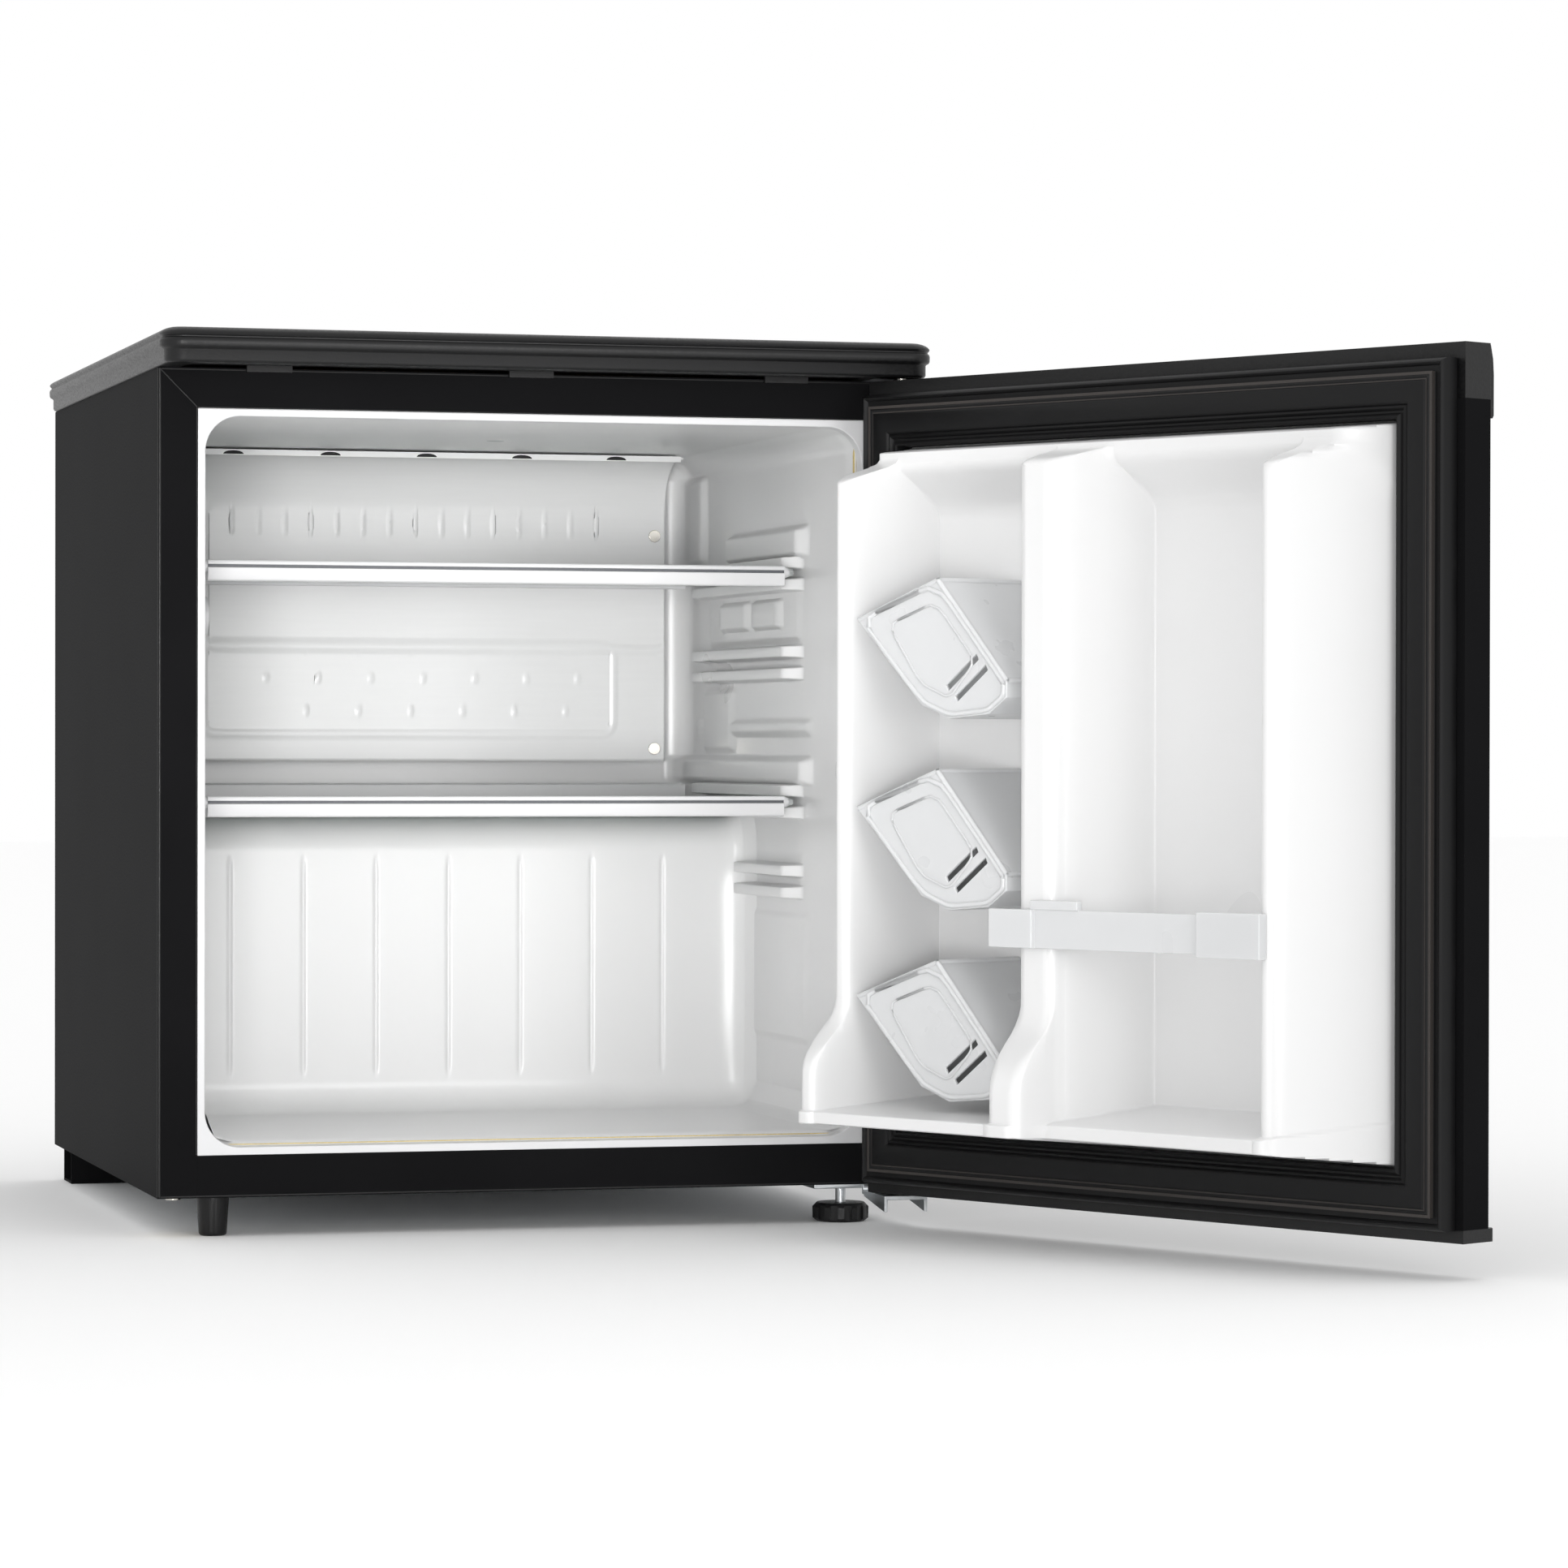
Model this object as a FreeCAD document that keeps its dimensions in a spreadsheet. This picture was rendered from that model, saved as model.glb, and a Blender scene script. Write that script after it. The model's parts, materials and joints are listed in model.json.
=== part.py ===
# Compact refrigerator with its door open, built as a parametric FreeCAD document.
#
# Frame: the origin is on the floor, under the middle of the cabinet. +X is the hinge side
# seen from the front, -Y is the front, +Z is up. Lengths are millimetres, angles degrees.
# Every door piece is drawn with the door closed and is then swung open about the hinge pin.

import FreeCAD, Part
import math
import os
import re
import Sketcher

SIZES = [
    ("cabinet_width", 440, "steel body, side to side"),
    ("cabinet_depth", 425, "steel body, front to back"),
    ("panel_height", 469.5, "side panel, without feet and worktop"),
    ("foot_height", 22.5, "floor to the underside of the body"),
    ("skin", 0.8, "steel sheet of the body"),
    ("frame_side", 22.5, "front flange width at the sides"),
    ("frame_top", 22.5, "front flange width at the top"),
    ("rail_height", 24, "front rail under the opening"),
    ("rail_return", 30, "bottom flange of the front rail"),
    ("trim_depth", 10, "white trim round the opening, front to back"),
    ("trim_width", 4.5, "visible width of the white trim"),
    ("mouth_radius", 20, "rounded corners of the opening"),
    ("rear_radius", 12, "rounded rear corners of the liner"),
    ("cavity_side_step", 7, "front flange edge to the liner's side wall"),
    ("cavity_ceiling", 443, "liner ceiling above the underside of the body"),
    ("cavity_floor", 31, "liner floor above the underside of the body"),
    ("back_insulation", 35, "liner back wall to the back of the body"),
    ("liner_wall", 1.5, "vacuum-formed liner sheet"),
    ("step_height", 211, "compressor step above the underside of the body"),
    ("step_front", 235, "front of the body to the compressor step"),
    ("step_radius", 20, "rounded edge of the compressor step"),
    ("step_insulation", 25, "foam between the liner step and the compressor bay"),
    ("worktop_height", 20, "worktop moulding"),
    ("worktop_side", 4.5, "worktop overhang at each side"),
    ("worktop_front", 46, "worktop overhang over the door"),
    ("worktop_round", 8, "rounded top edge of the worktop"),
    ("worktop_corner", 14, "rounded front corners of the worktop"),
    ("worktop_relief", 4, "gap between the overhang and the top of the body"),
    ("worktop_core_height", 13, "board inside the worktop"),
    ("worktop_rim", 18, "solid rim round the board"),
    ("clip_width", 26, "worktop clip"),
    ("clip_pitch", 152, "worktop clips, centre to centre"),
    ("door_gap", 14.2, "body front to the inner face of the door"),
    ("door_thickness", 23.8, "door without its liner and handle"),
    ("door_skin", 0.6, "steel sheet of the door"),
    ("door_edge_bevel", 3, "bevelled vertical edges of the door"),
    ("door_lip", 8, "inner lip of the door skin"),
    ("door_top", 467.5, "door top above the underside of the body"),
    ("door_drop", 2.5, "door bottom below the underside of the body"),
    ("top_cap_height", 29.5, "door top cap"),
    ("bottom_cap_height", 7, "door bottom cap"),
    ("cap_wall", 3, "wall of the door caps"),
    ("handle_drop", 39, "handle lip, top to bottom"),
    ("handle_bulge", 3.5, "handle lip in front of the door"),
    ("pin_side", 11.3, "hinge pin to the side of the body"),
    ("pin_front", 14.5, "hinge pin to the inner face of the door"),
    ("pin_radius", 3, "hinge pins"),
    ("pin_depth", 12, "hinge pins inside the door"),
    ("pin_clearance", 0.08, "running fit of the hinge pins"),
    ("bush_wall", 2.2, "hinge bushings"),
    ("door_angle", 118.2, "how far the door stands open"),
    ("gasket_width", 31, "gasket, inner lip to outer lip"),
    ("gasket_outer", 5, "outer lip of the gasket to the door edge"),
    ("gasket_ledge", 4, "outer ledge of the gasket"),
    ("gasket_drop", 4, "outer ledge below the sealing face"),
    ("gasket_gap", 0.2, "sealing face to the body with the door closed"),
    ("magnet_width", 10, "magnet strip"),
    ("magnet_height", 4, "magnet strip, thickness"),
    ("magnet_cover", 3, "gasket lip beside the magnet"),
    ("magnet_skin", 1.2, "gasket skin over the magnet"),
    ("door_liner_wall", 1.5, "vacuum-formed door liner"),
    ("bin_side", 183, "door liner block, half width"),
    ("bin_bottom", 36, "door liner block, lower end"),
    ("bin_top", 427, "door liner block, upper end"),
    ("bin_back", 8, "back of the bins in front of the body"),
    ("bin_reach", 62, "bin walls, reach into the body"),
    ("bin_bulge", 26, "extra reach of the lower can bin"),
    ("bulge_top", 125, "where the bulge starts"),
    ("hinge_wall_in", 160, "inner edge of the hinge-side bin wall"),
    ("hinge_wall_out", 172, "outer edge of the hinge-side bin wall"),
    ("divider_left", 2, "bottle side of the divider"),
    ("divider_right", 30, "can side of the divider"),
    ("free_wall_in", 145, "inner edge of the free-side bin wall"),
    ("free_wall_out", 153, "outer edge of the free-side bin wall"),
    ("bin_draft", 8, "draft of the bin walls"),
    ("dispenser_pitch", 105.7, "can holders, centre to centre"),
    ("dispenser_wall", 2, "can holder wall"),
    ("dispenser_gap", 0.5, "can holder to the back of the bin"),
    ("dispenser_reach", 60, "can holder, front face"),
    ("bar_bottom", 147, "bottle bar above the underside of the body"),
    ("bar_height", 21, "bottle bar"),
    ("bar_thickness", 3, "bottle bar"),
    ("bar_gap", 0.4, "bottle bar to the bin walls"),
    ("hook_length", 14, "hooks of the bottle bar inside the bin walls"),
    ("shelf_front", 100, "body front to the shelf trims"),
    ("shelf_depth", 250, "shelf, front to back"),
    ("shelf_trim_width", 350, "shelf trims, side to side"),
    ("shelf_rib_gap", 9, "shelf glass edge to the liner wall"),
    ("glass", 4, "shelf glass"),
    ("upper_shelf", 359, "underside of the upper glass above the underside of the body"),
    ("lower_shelf", 220.5, "underside of the lower glass above the underside of the body"),
    ("upper_spare", 305, "spare shelf position"),
    ("lower_spare", 172, "spare shelf position under the lower shelf"),
    ("rib_reach", 12, "shelf rib, reach from the liner wall"),
    ("rib_height", 8.5, "shelf rib"),
    ("rib_gap", 0.4, "shelf glass to its ribs"),
    ("rib_front", 112, "body front to the ribs"),
    ("rib_length", 228, "shelf ribs, front to back"),
    ("plate_half", 168, "evaporator plate, half width"),
    ("plate_thickness", 1.6, "evaporator plate"),
    ("plate_bottom", 246.5, "evaporator plate, lower edge"),
    ("plate_top", 439.5, "evaporator plate, folded top"),
    ("plate_back", 366, "body front to the evaporator plate"),
    ("plate_fold", 50, "folded top of the evaporator plate"),
    ("plate_bend", 36, "bend of the evaporator plate"),
    ("plate_corner", 12, "rounded corners of the evaporator plate"),
    ("slot_width", 13, "notch in the folded edge"),
    ("slot_depth", 5, "notch in the folded edge"),
    ("slot_pitch", 61.7, "notches, centre to centre"),
    ("post_radius", 5.5, "posts behind the evaporator plate"),
    ("plate_screw_side", 161, "evaporator screws from the middle"),
    ("plate_screw_low", 254.5, "lower evaporator screws"),
    ("plate_screw_high", 392.5, "upper evaporator screws"),
    ("screw_radius", 2, "small screws"),
    ("screw_head", 4, "head radius of the small screws"),
    ("head_height", 2.4, "head of the small screws"),
    ("stat_front", 118, "body front to the thermostat housing"),
    ("stat_length", 82, "thermostat housing"),
    ("stat_offset", 9, "knob in front of the middle of the housing"),
    ("stat_low", 319.5, "thermostat housing, lower side"),
    ("stat_height", 27, "thermostat housing"),
    ("stat_reach", 13.5, "thermostat housing from the wall"),
    ("knob_radius", 12.5, "thermostat knob"),
    ("knob_height", 9, "thermostat knob"),
    ("spindle_radius", 3, "thermostat spindle"),
    ("spindle_length", 6, "thermostat spindle"),
    ("spindle_clearance", 0.05, "running fit of the knob"),
    ("hinge_plate", 2.5, "hinge plates"),
    ("hinge_arm", 26, "width of the hinge arms"),
    ("hinge_arm_front", 44, "hinge arm in front of the body"),
    ("hinge_drop", 3.5, "step in the lower hinge"),
    ("hinge_rear", 60, "lower hinge plate behind the body front"),
    ("hinge_wide", 54, "lower hinge plate, side to side"),
    ("hinge_wing", 7, "stiffening wings of the lower hinge"),
    ("bolt_radius", 2.5, "hinge bolts"),
    ("bolt_head", 4.5, "head radius of the hinge bolts"),
    ("bolt_length", 8, "hinge bolts inside the body"),
    ("bolt_inset", 12, "hinge bolts to the side of the body"),
    ("bolt_first", 20, "first hinge bolt behind the body front"),
    ("bolt_pitch", 28, "hinge bolts, centre to centre"),
    ("foot_side", 186, "feet from the middle"),
    ("foot_back", 16, "feet behind the body front"),
    ("peg_top", 9.3, "fixed foot, upper radius"),
    ("peg_bottom", 7.9, "fixed foot, lower radius"),
    ("pad_radius", 16.5, "levelling foot pad"),
    ("pad_height", 11, "levelling foot pad"),
    ("pad_flutes", 12, "grip flutes round the pad"),
    ("flute_radius", 2.2, "grip flute"),
    ("stud_radius", 3, "levelling stud and foot pegs"),
    ("stud_length", 26, "levelling stud above the pad"),
    ("stud_clearance", 0.06, "levelling stud in its nut and pad"),
    ("stud_hole", 3.5, "passage for the stud"),
    ("nut_flats", 10, "nut across its flats"),
    ("nut_height", 5, "nut"),
    ("peg_length", 6, "foot peg inside the body"),
    ("skid_front", 385, "body front to the rear skid"),
    ("skid_depth", 33, "rear skid, front to back"),
    ("skid_side", 5, "rear skid to the side of the body"),
    ("skid_wall", 1.5, "rear skid sheet"),
    ("bay_plate", 2, "compressor mounting plate"),
    ("bay_gap", 2, "mounting plate to the walls round it"),
    ("bumper_depth", 8, "rear bumpers"),
    ("compressor_x", 45, "compressor from the middle"),
    ("compressor_y", 344, "compressor behind the body front"),
    ("shell_radius", 60, "compressor shell"),
    ("shell_height", 112, "compressor shell"),
    ("shell_round", 24, "rounded ends of the shell"),
    ("mount_half_x", 72, "compressor feet from its middle"),
    ("mount_half_y", 54, "compressor feet from its middle"),
    ("mount_plate", 3, "compressor foot plate"),
    ("grommet_radius", 9, "rubber grommets"),
    ("grommet_height", 10, "rubber grommets"),
    ("relay_width", 30, "relay cover"),
    ("relay_depth", 46, "relay cover"),
    ("relay_height", 52, "relay cover"),
    ("tube_radius", 3.2, "refrigerant tubes"),
    ("tube_bend", 12, "bends of the tubes"),
    ("capillary_radius", 1.1, "capillary tubes"),
    ("drier_radius", 9, "filter drier"),
    ("drier_length", 80, "filter drier"),
    ("tray_width", 100, "drip tray"),
    ("tray_depth", 84, "drip tray"),
    ("tray_height", 20, "drip tray"),
    ("tray_wall", 1.5, "drip tray"),
    ("drain_radius", 6, "drain tube"),
    ("condenser_runs", 6, "condenser runs"),
    ("condenser_half", 180, "condenser runs, half length"),
    ("gland_radius", 7, "supply inlet gland"),
    ("gland_length", 9, "supply inlet gland"),
    ("gland_x", 150, "supply inlet from the middle"),
]

# Planes and places that follow from the sizes.
PLACES = {
    "half": "cabinet_width / 2",
    "front": "-cabinet_depth / 2",
    "back": "cabinet_depth / 2",
    "base": "foot_height",
    "roof": "foot_height + panel_height",
    "mouth": "half - frame_side",
    "mouth_top": "roof - frame_top",
    "mouth_bottom": "base + rail_height",
    "wall": "mouth - cavity_side_step",
    "ceiling": "base + cavity_ceiling",
    "floor": "base + cavity_floor",
    "rear_wall": "back - back_insulation",
    "step_top": "base + step_height",
    "step_face": "front + step_front",
    "riser": "step_face + liner_wall + step_insulation",
    "bay_top": "step_top - liner_wall - step_insulation",
    "door_in": "front - door_gap",
    "door_out": "door_in - door_thickness",
    "door_head": "base + door_top",
    "door_foot": "base - door_drop",
    "cap_low": "door_head - top_cap_height",
    "cap_foot": "door_foot + bottom_cap_height",
    "liner_back": "door_in - door_liner_wall",
    "liner_half": "half - door_lip - 0.5",
    "liner_low": "cap_foot + 0.5",
    "liner_high": "base + bin_top + gasket_width + 1",
    "pin_x": "half - pin_side",
    "pin_y": "door_in - pin_front",
    "seal_low": "base + bin_bottom - gasket_width - 1",
    "seal_high": "base + bin_top + gasket_width + 1",
    "seal_out": "half - gasket_outer",
    "seal_in": "seal_out - gasket_width",
    "glass_half": "wall - shelf_rib_gap",
    "plate_y": "front + plate_back",
    "fold_front": "plate_y - plate_fold",
    "plate_z": "base + plate_bottom",
    "stat_y": "front + stat_front + stat_length / 2 - stat_offset",
    "stat_z": "base + stat_low + stat_height / 2",
    "stat_face": "-wall + stat_reach",
    "bolt_x": "half - bolt_inset",
    "shell_x": "compressor_x",
    "shell_y": "front + compressor_y",
    "plate_deck": "base + bay_plate",
    "shell_foot": "plate_deck + grommet_height",
}

doc = FreeCAD.newDocument("CompactFridge")
sheet = doc.addObject("Spreadsheet::Sheet", "Sizes")
for row, (alias, number, meaning) in enumerate(SIZES, start=1):
    sheet.set(f"A{row}", alias)
    sheet.set(f"B{row}", str(number))
    sheet.set(f"C{row}", meaning)
    sheet.setAlias(f"B{row}", alias)
doc.recompute()

ALIASES = {alias for alias, number, meaning in SIZES}
NODES = []


def full(expression):
    """Spells an expression out: places become their expressions, sizes become cells."""

    def spell(match):
        word = match.group(0)
        if word in PLACES:
            return f"({full(PLACES[word])})"
        return f"Sizes.{word}" if word in ALIASES else word

    return re.sub(r"[a-z_]+", spell, str(expression))


def value(expression):
    """The present value of an expression, for the few shapes made in code."""
    return float(sheet.evalExpression(full(expression)))


def bind(thing, **expressions):
    for name, expression in expressions.items():
        thing.setExpression(name, full(expression))
    return thing


def label(thing, name):
    """Marks a finished sub-part, which gets a file of its own."""
    thing.Label = name
    NODES.append(thing)
    return thing


def move(thing, x=0, y=0, z=0):
    thing.setExpression(".Placement.Base.x", full(x))
    thing.setExpression(".Placement.Base.y", full(y))
    thing.setExpression(".Placement.Base.z", full(z))
    return thing


def swing(thing):
    """Turns a door piece, drawn closed, to the open door about the hinge pin."""
    thing.setExpression(".Placement.Rotation.Angle", full("door_angle"))
    turn = "door_angle * 1deg"
    move(
        thing,
        x=f"pin_x - pin_x * cos({turn}) + pin_y * sin({turn})",
        y=f"pin_y - pin_x * sin({turn}) - pin_y * cos({turn})",
    )
    return thing


def box(name, x0, x1, y0, y1, z0, z1):
    made = doc.addObject("Part::Box", name)
    bind(made, Length=f"({x1}) - ({x0})", Width=f"({y1}) - ({y0})", Height=f"({z1}) - ({z0})")
    return move(made, x0, y0, z0)


def wedge(name, near, far):
    """A drafted block between two rectangles (x0, x1, z0, z1, y) that face along Y."""
    made = doc.addObject("Part::Wedge", name)
    x0, x1, z0, z1, y = near
    bind(made, Xmin=x0, Xmax=x1, Zmin=z0, Zmax=z1, Ymin=y)
    x0, x1, z0, z1, y = far
    bind(made, X2min=x0, X2max=x1, Z2min=z0, Z2max=z1, Ymax=y)
    return made


def rod(name, x, y, z, radius, length, axis="z"):
    made = doc.addObject("Part::Cylinder", name)
    bind(made, Radius=radius, Height=length)
    turned = {"z": (0, 0, 1, 0), "x": (0, 1, 0, 90), "y": (1, 0, 0, -90)}[axis]
    made.Placement.Rotation = FreeCAD.Rotation(FreeCAD.Vector(*turned[:3]), turned[3])
    return move(made, x, y, z)


def fuse(name, *pieces):
    made = doc.addObject("Part::MultiFuse", name)
    made.Shapes = list(pieces)
    made.Refine = True
    return made


def cut(name, base, tool):
    made = doc.addObject("Part::Cut", name)
    made.Base = base
    made.Tool = tool
    return made


def group(name, *pieces):
    made = doc.addObject("Part::Compound", name)
    made.Links = list(pieces)
    return made


def draw(body, name, plane, points, height):
    """A closed sketch on one of the body's own planes, each corner tied to the sizes."""
    sketch = body.newObject("Sketcher::SketchObject", name)
    base = next(f for f in body.Origin.OriginFeatures if f.Role == plane)
    sketch.AttachmentSupport = (base, [""])
    sketch.MapMode = "FlatFace"
    sketch.setExpression(".AttachmentOffset.Base.z", full(height))
    corners = [FreeCAD.Vector(value(u), value(v), 0) for u, v in points]
    count = len(corners)
    for i in range(count):
        sketch.addGeometry(Part.LineSegment(corners[i], corners[(i + 1) % count]))
    for i in range(count):
        sketch.addConstraint(Sketcher.Constraint("Coincident", i, 2, (i + 1) % count, 1))
    for i, (u, v) in enumerate(points):
        for kind, place, now in (("DistanceX", u, corners[i].x), ("DistanceY", v, corners[i].y)):
            index = sketch.addConstraint(Sketcher.Constraint(kind, -1, 1, i, 1, now))
            sketch.setExpression(f"Constraints[{index}]", full(place))
    return sketch


def along(plane, low, high):
    """Where a sketch lies so that it grows from low to high, whatever way the plane faces."""
    return f"-({high})" if plane == "XZ_Plane" else f"{low}"


def prism(name, plane, points, low, high):
    """A body with one pad: points in the plane, low and high across it."""
    body = doc.addObject("PartDesign::Body", name)
    sketch = draw(body, f"{name}_outline", plane, points, along(plane, low, high))
    pad = body.newObject("PartDesign::Pad", f"{name}_pad")
    pad.Profile = sketch
    bind(pad, Length=f"({high}) - ({low})")
    sketch.Visibility = False
    doc.recompute()
    return body


def pocket(body, name, plane, points, low, high):
    """Cuts a prism out of a body and makes sure that it removed something."""
    before = body.Shape.Volume
    sketch = draw(body, f"{name}_outline", plane, points, along(plane, low, high))
    made = body.newObject("PartDesign::Pocket", name)
    made.Profile = sketch
    made.Type = "Length"
    made.Reversed = True
    bind(made, Length=f"({high}) - ({low})")
    sketch.Visibility = False
    doc.recompute()
    if not body.Shape.Volume < before - 1e-6:
        raise RuntimeError(f"{name} cuts nothing")
    return made


def revolve(name, points, x, y, z=0):
    """A body turned about a vertical axis; points are (radius, height)."""
    body = doc.addObject("PartDesign::Body", name)
    sketch = draw(body, f"{name}_outline", "XZ_Plane", points, 0)
    turned = body.newObject("PartDesign::Revolution", f"{name}_turn")
    turned.Profile = sketch
    turned.ReferenceAxis = (sketch, ["V_Axis"])
    turned.Angle = 360
    sketch.Visibility = False
    doc.recompute()
    return move(body, x, y, z)


def rect(u0, u1, v0, v1):
    return [(u0, v0), (u1, v0), (u1, v1), (u0, v1)]


def round_edges(body, radius, choose, name="round"):
    """Fillets the edges that the chooser accepts."""
    base = body.Tip
    names = [f"Edge{i}" for i, edge in enumerate(base.Shape.Edges, start=1) if choose(edge)]
    made = body.newObject("PartDesign::Fillet", f"{body.Name}_{name}")
    made.Base = (base, names)
    bind(made, Radius=radius)
    doc.recompute()
    return made


def runs(edge, axis):
    """True for a straight edge along x, y or z."""
    box_ = edge.BoundBox
    spans = {"x": box_.XLength, "y": box_.YLength, "z": box_.ZLength}
    others = sum(length for key, length in spans.items() if key != axis)
    return spans[axis] > 1e-3 and others < 1e-3


def near(number, expression):
    return abs(number - value(expression)) < 0.01


def tube(name, points, radius, bend):
    """A round tube along corner points, with equal bends at the corners."""
    corners = [FreeCAD.Vector(*(value(c) for c in point)) for point in points]
    size = value(bend)
    edges = []
    start = corners[0]
    for before, corner, after in zip(corners, corners[1:], corners[2:]):
        back_dir = (before - corner).normalize()
        next_dir = (after - corner).normalize()
        half_angle = back_dir.getAngle(next_dir) / 2
        reach = size / math.tan(half_angle)
        leave = corner + back_dir * reach
        enter = corner + next_dir * reach
        middle_dir = (back_dir + next_dir).normalize()
        centre = corner + middle_dir * (size / math.sin(half_angle))
        middle = centre - middle_dir * size
        edges.append(Part.makeLine(start, leave))
        edges.append(Part.Arc(leave, middle, enter).toShape())
        start = enter
    edges.append(Part.makeLine(start, corners[-1]))
    path = Part.Wire(edges)
    circle = Part.makeCircle(value(radius), corners[0], corners[1] - corners[0])
    made = doc.addObject("Part::Feature", name)
    made.Shape = path.makePipeShell([Part.Wire([circle])], True, False)
    return made


# ---------------------------------------------------------------- cabinet shell

wrapper = prism("wrapper_body", "XZ_Plane", rect("-half", "half", "base", "roof"), "front", "back")
inside = rect("-half + skin", "half - skin", "base - 1", "roof - skin")
pocket(wrapper, "wrapper_inside", "XZ_Plane", inside, "front + skin", "back + 1")
opening = rect("-mouth", "mouth", "base - 1", "mouth_top")
pocket(wrapper, "wrapper_opening", "XZ_Plane", opening, "front - 1", "front + skin + 1")

rail = prism(
    "rail_body",
    "YZ_Plane",
    [
        ("front", "base"),
        ("front + rail_return", "base"),
        ("front + rail_return", "base + skin"),
        ("front + skin", "base + skin"),
        ("front + skin", "mouth_bottom"),
        ("front", "mouth_bottom"),
    ],
    "-mouth",
    "mouth",
)

pan = prism(
    "pan_body",
    "YZ_Plane",
    [
        ("front + rail_return", "base"),
        ("riser", "base"),
        ("riser", "bay_top"),
        ("back - skin", "bay_top"),
        ("back - skin", "bay_top + skin"),
        ("riser - skin", "bay_top + skin"),
        ("riser - skin", "base + skin"),
        ("front + rail_return", "base + skin"),
    ],
    "-half + skin",
    "half - skin",
)

back_sheet = box(
    "back_sheet", "-half + skin", "half - skin", "back - skin", "back", "bay_top", "roof - skin"
)

# Shanks of the bolts and pegs that enter the bottom and the top of the body.
BOLT_YS = ["front + bolt_first", "front + bolt_first + bolt_pitch"]


def shanks(name, side, top):
    low = "roof - bolt_length" if top else "base - hinge_plate"
    length = "bolt_length + hinge_plate"
    return [
        rod(f"{name}_{i}", f"{side} * bolt_x", y, low, "bolt_radius", length)
        for i, y in enumerate(BOLT_YS)
    ]


bottom_shanks = shanks("hinge_shank", 1, False) + shanks("spare_shank", -1, False)
top_shanks = shanks("top_shank", 1, True)
peg_shank = rod(
    "peg_shank", "-foot_side", "front + foot_back", "base - 1", "stud_radius", "peg_length + 1"
)
stud_way = rod(
    "stud_way", "foot_side", "front + foot_back", "base - 8", "stud_hole", "stud_length + 4"
)
bottom_holes = group("bottom_holes", *bottom_shanks, peg_shank, stud_way)
top_holes = group("top_holes", *top_shanks)

wrapper_cut = label(cut("wrapper_cut", wrapper, top_holes), "outer_wrapper")
rail_cut = label(cut("rail_cut", rail, bottom_holes), "bottom_front_rail")
pan_cut = label(cut("pan_cut", pan, bottom_holes), "bottom_pan")

# ---------------------------------------------------------------- liner and trim


def cavity_form(name, grow):
    """The space of the food compartment, grown outward by a wall thickness."""
    body = prism(
        f"{name}_space",
        "XZ_Plane",
        rect(f"-wall - {grow}", f"wall + {grow}", f"floor - {grow}", f"ceiling + {grow}"),
        "front + trim_depth - 1",
        f"rear_wall + {grow}",
    )
    round_edges(body, f"mouth_radius + {grow}", lambda e: runs(e, "y"))
    rear = value(f"rear_wall + {grow}")
    round_edges(body, f"rear_radius + {grow}", lambda e: e.BoundBox.YMin > rear - 0.01, "rear_round")
    step = prism(
        f"{name}_step",
        "YZ_Plane",
        rect(f"step_face + {grow}", "back", "base - 1", f"step_top - {grow}"),
        "-half",
        "half",
    )
    edge = value(f"step_face + {grow}")
    top = value(f"step_top - {grow}")
    round_edges(
        step,
        f"step_radius - {grow}",
        lambda e: runs(e, "x")
        and abs(e.BoundBox.YMin - edge) < 0.01
        and abs(e.BoundBox.ZMin - top) < 0.01,
    )
    return cut(f"{name}_form", body, step)


cavity_in = cavity_form("cavity", "0")
cavity_out = cavity_form("cavity_back", "liner_wall")
liner_flange = box(
    "liner_flange",
    "-mouth",
    "mouth",
    "front + trim_depth",
    "front + trim_depth + liner_wall",
    "mouth_bottom",
    "mouth_top",
)
front_slice = box(
    "front_slice", "-half", "half", "front", "front + trim_depth", "base", "roof"
)
liner_sheet = cut("liner_sheet", fuse("liner_block", cavity_out, liner_flange), cavity_in)
liner_open = cut("liner_open", liner_sheet, front_slice)

SHELF_LEVELS = {
    "upper": "upper_shelf",
    "upper_spare": "upper_spare",
    "lower": "lower_shelf",
    "lower_spare": "lower_spare",
}
ribs = []
for level_name, level in SHELF_LEVELS.items():
    rib_end = "step_face" if level == "lower_spare" else "front + rib_front + rib_length"
    for side in (-1, 1):
        edges = sorted([f"{side} * (wall - rib_reach)", f"{side} * (wall + 0.2)"], key=value)
        heights = {"under": f"{level} - rib_gap - rib_height", "over": f"{level} + glass + rib_gap"}
        for kind, low in heights.items():
            rib_low = f"base + {low}"
            ribs.append(
                box(
                    f"rib_{level_name}_{kind}_{'right' if side > 0 else 'left'}",
                    edges[0],
                    edges[1],
                    "front + rib_front",
                    rib_end,
                    rib_low,
                    f"{rib_low} + rib_height",
                )
            )
# The evaporator is screwed to posts on the back wall of the liner.
screw_places = [
    (f"{side} * plate_screw_side", f"base + {height}")
    for side in (-1, 1)
    for height in ("plate_screw_low", "plate_screw_high")
]
shank_length = "plate_thickness + 8"
plate_shanks = group(
    "plate_shanks",
    *[
        rod(f"plate_shank_{i}", x, "plate_y", z, "screw_radius", shank_length, "y")
        for i, (x, z) in enumerate(screw_places)
    ],
)
posts = [
    rod(
        f"post_{i}",
        x,
        "plate_y + plate_thickness",
        z,
        "post_radius",
        "rear_wall + 0.2 - plate_y - plate_thickness",
        "y",
    )
    for i, (x, z) in enumerate(screw_places)
]
liner_solid = fuse("liner_solid", liner_open, *ribs, *posts)
label(cut("liner_done", liner_solid, plate_shanks), "cabinet_liner")

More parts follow.
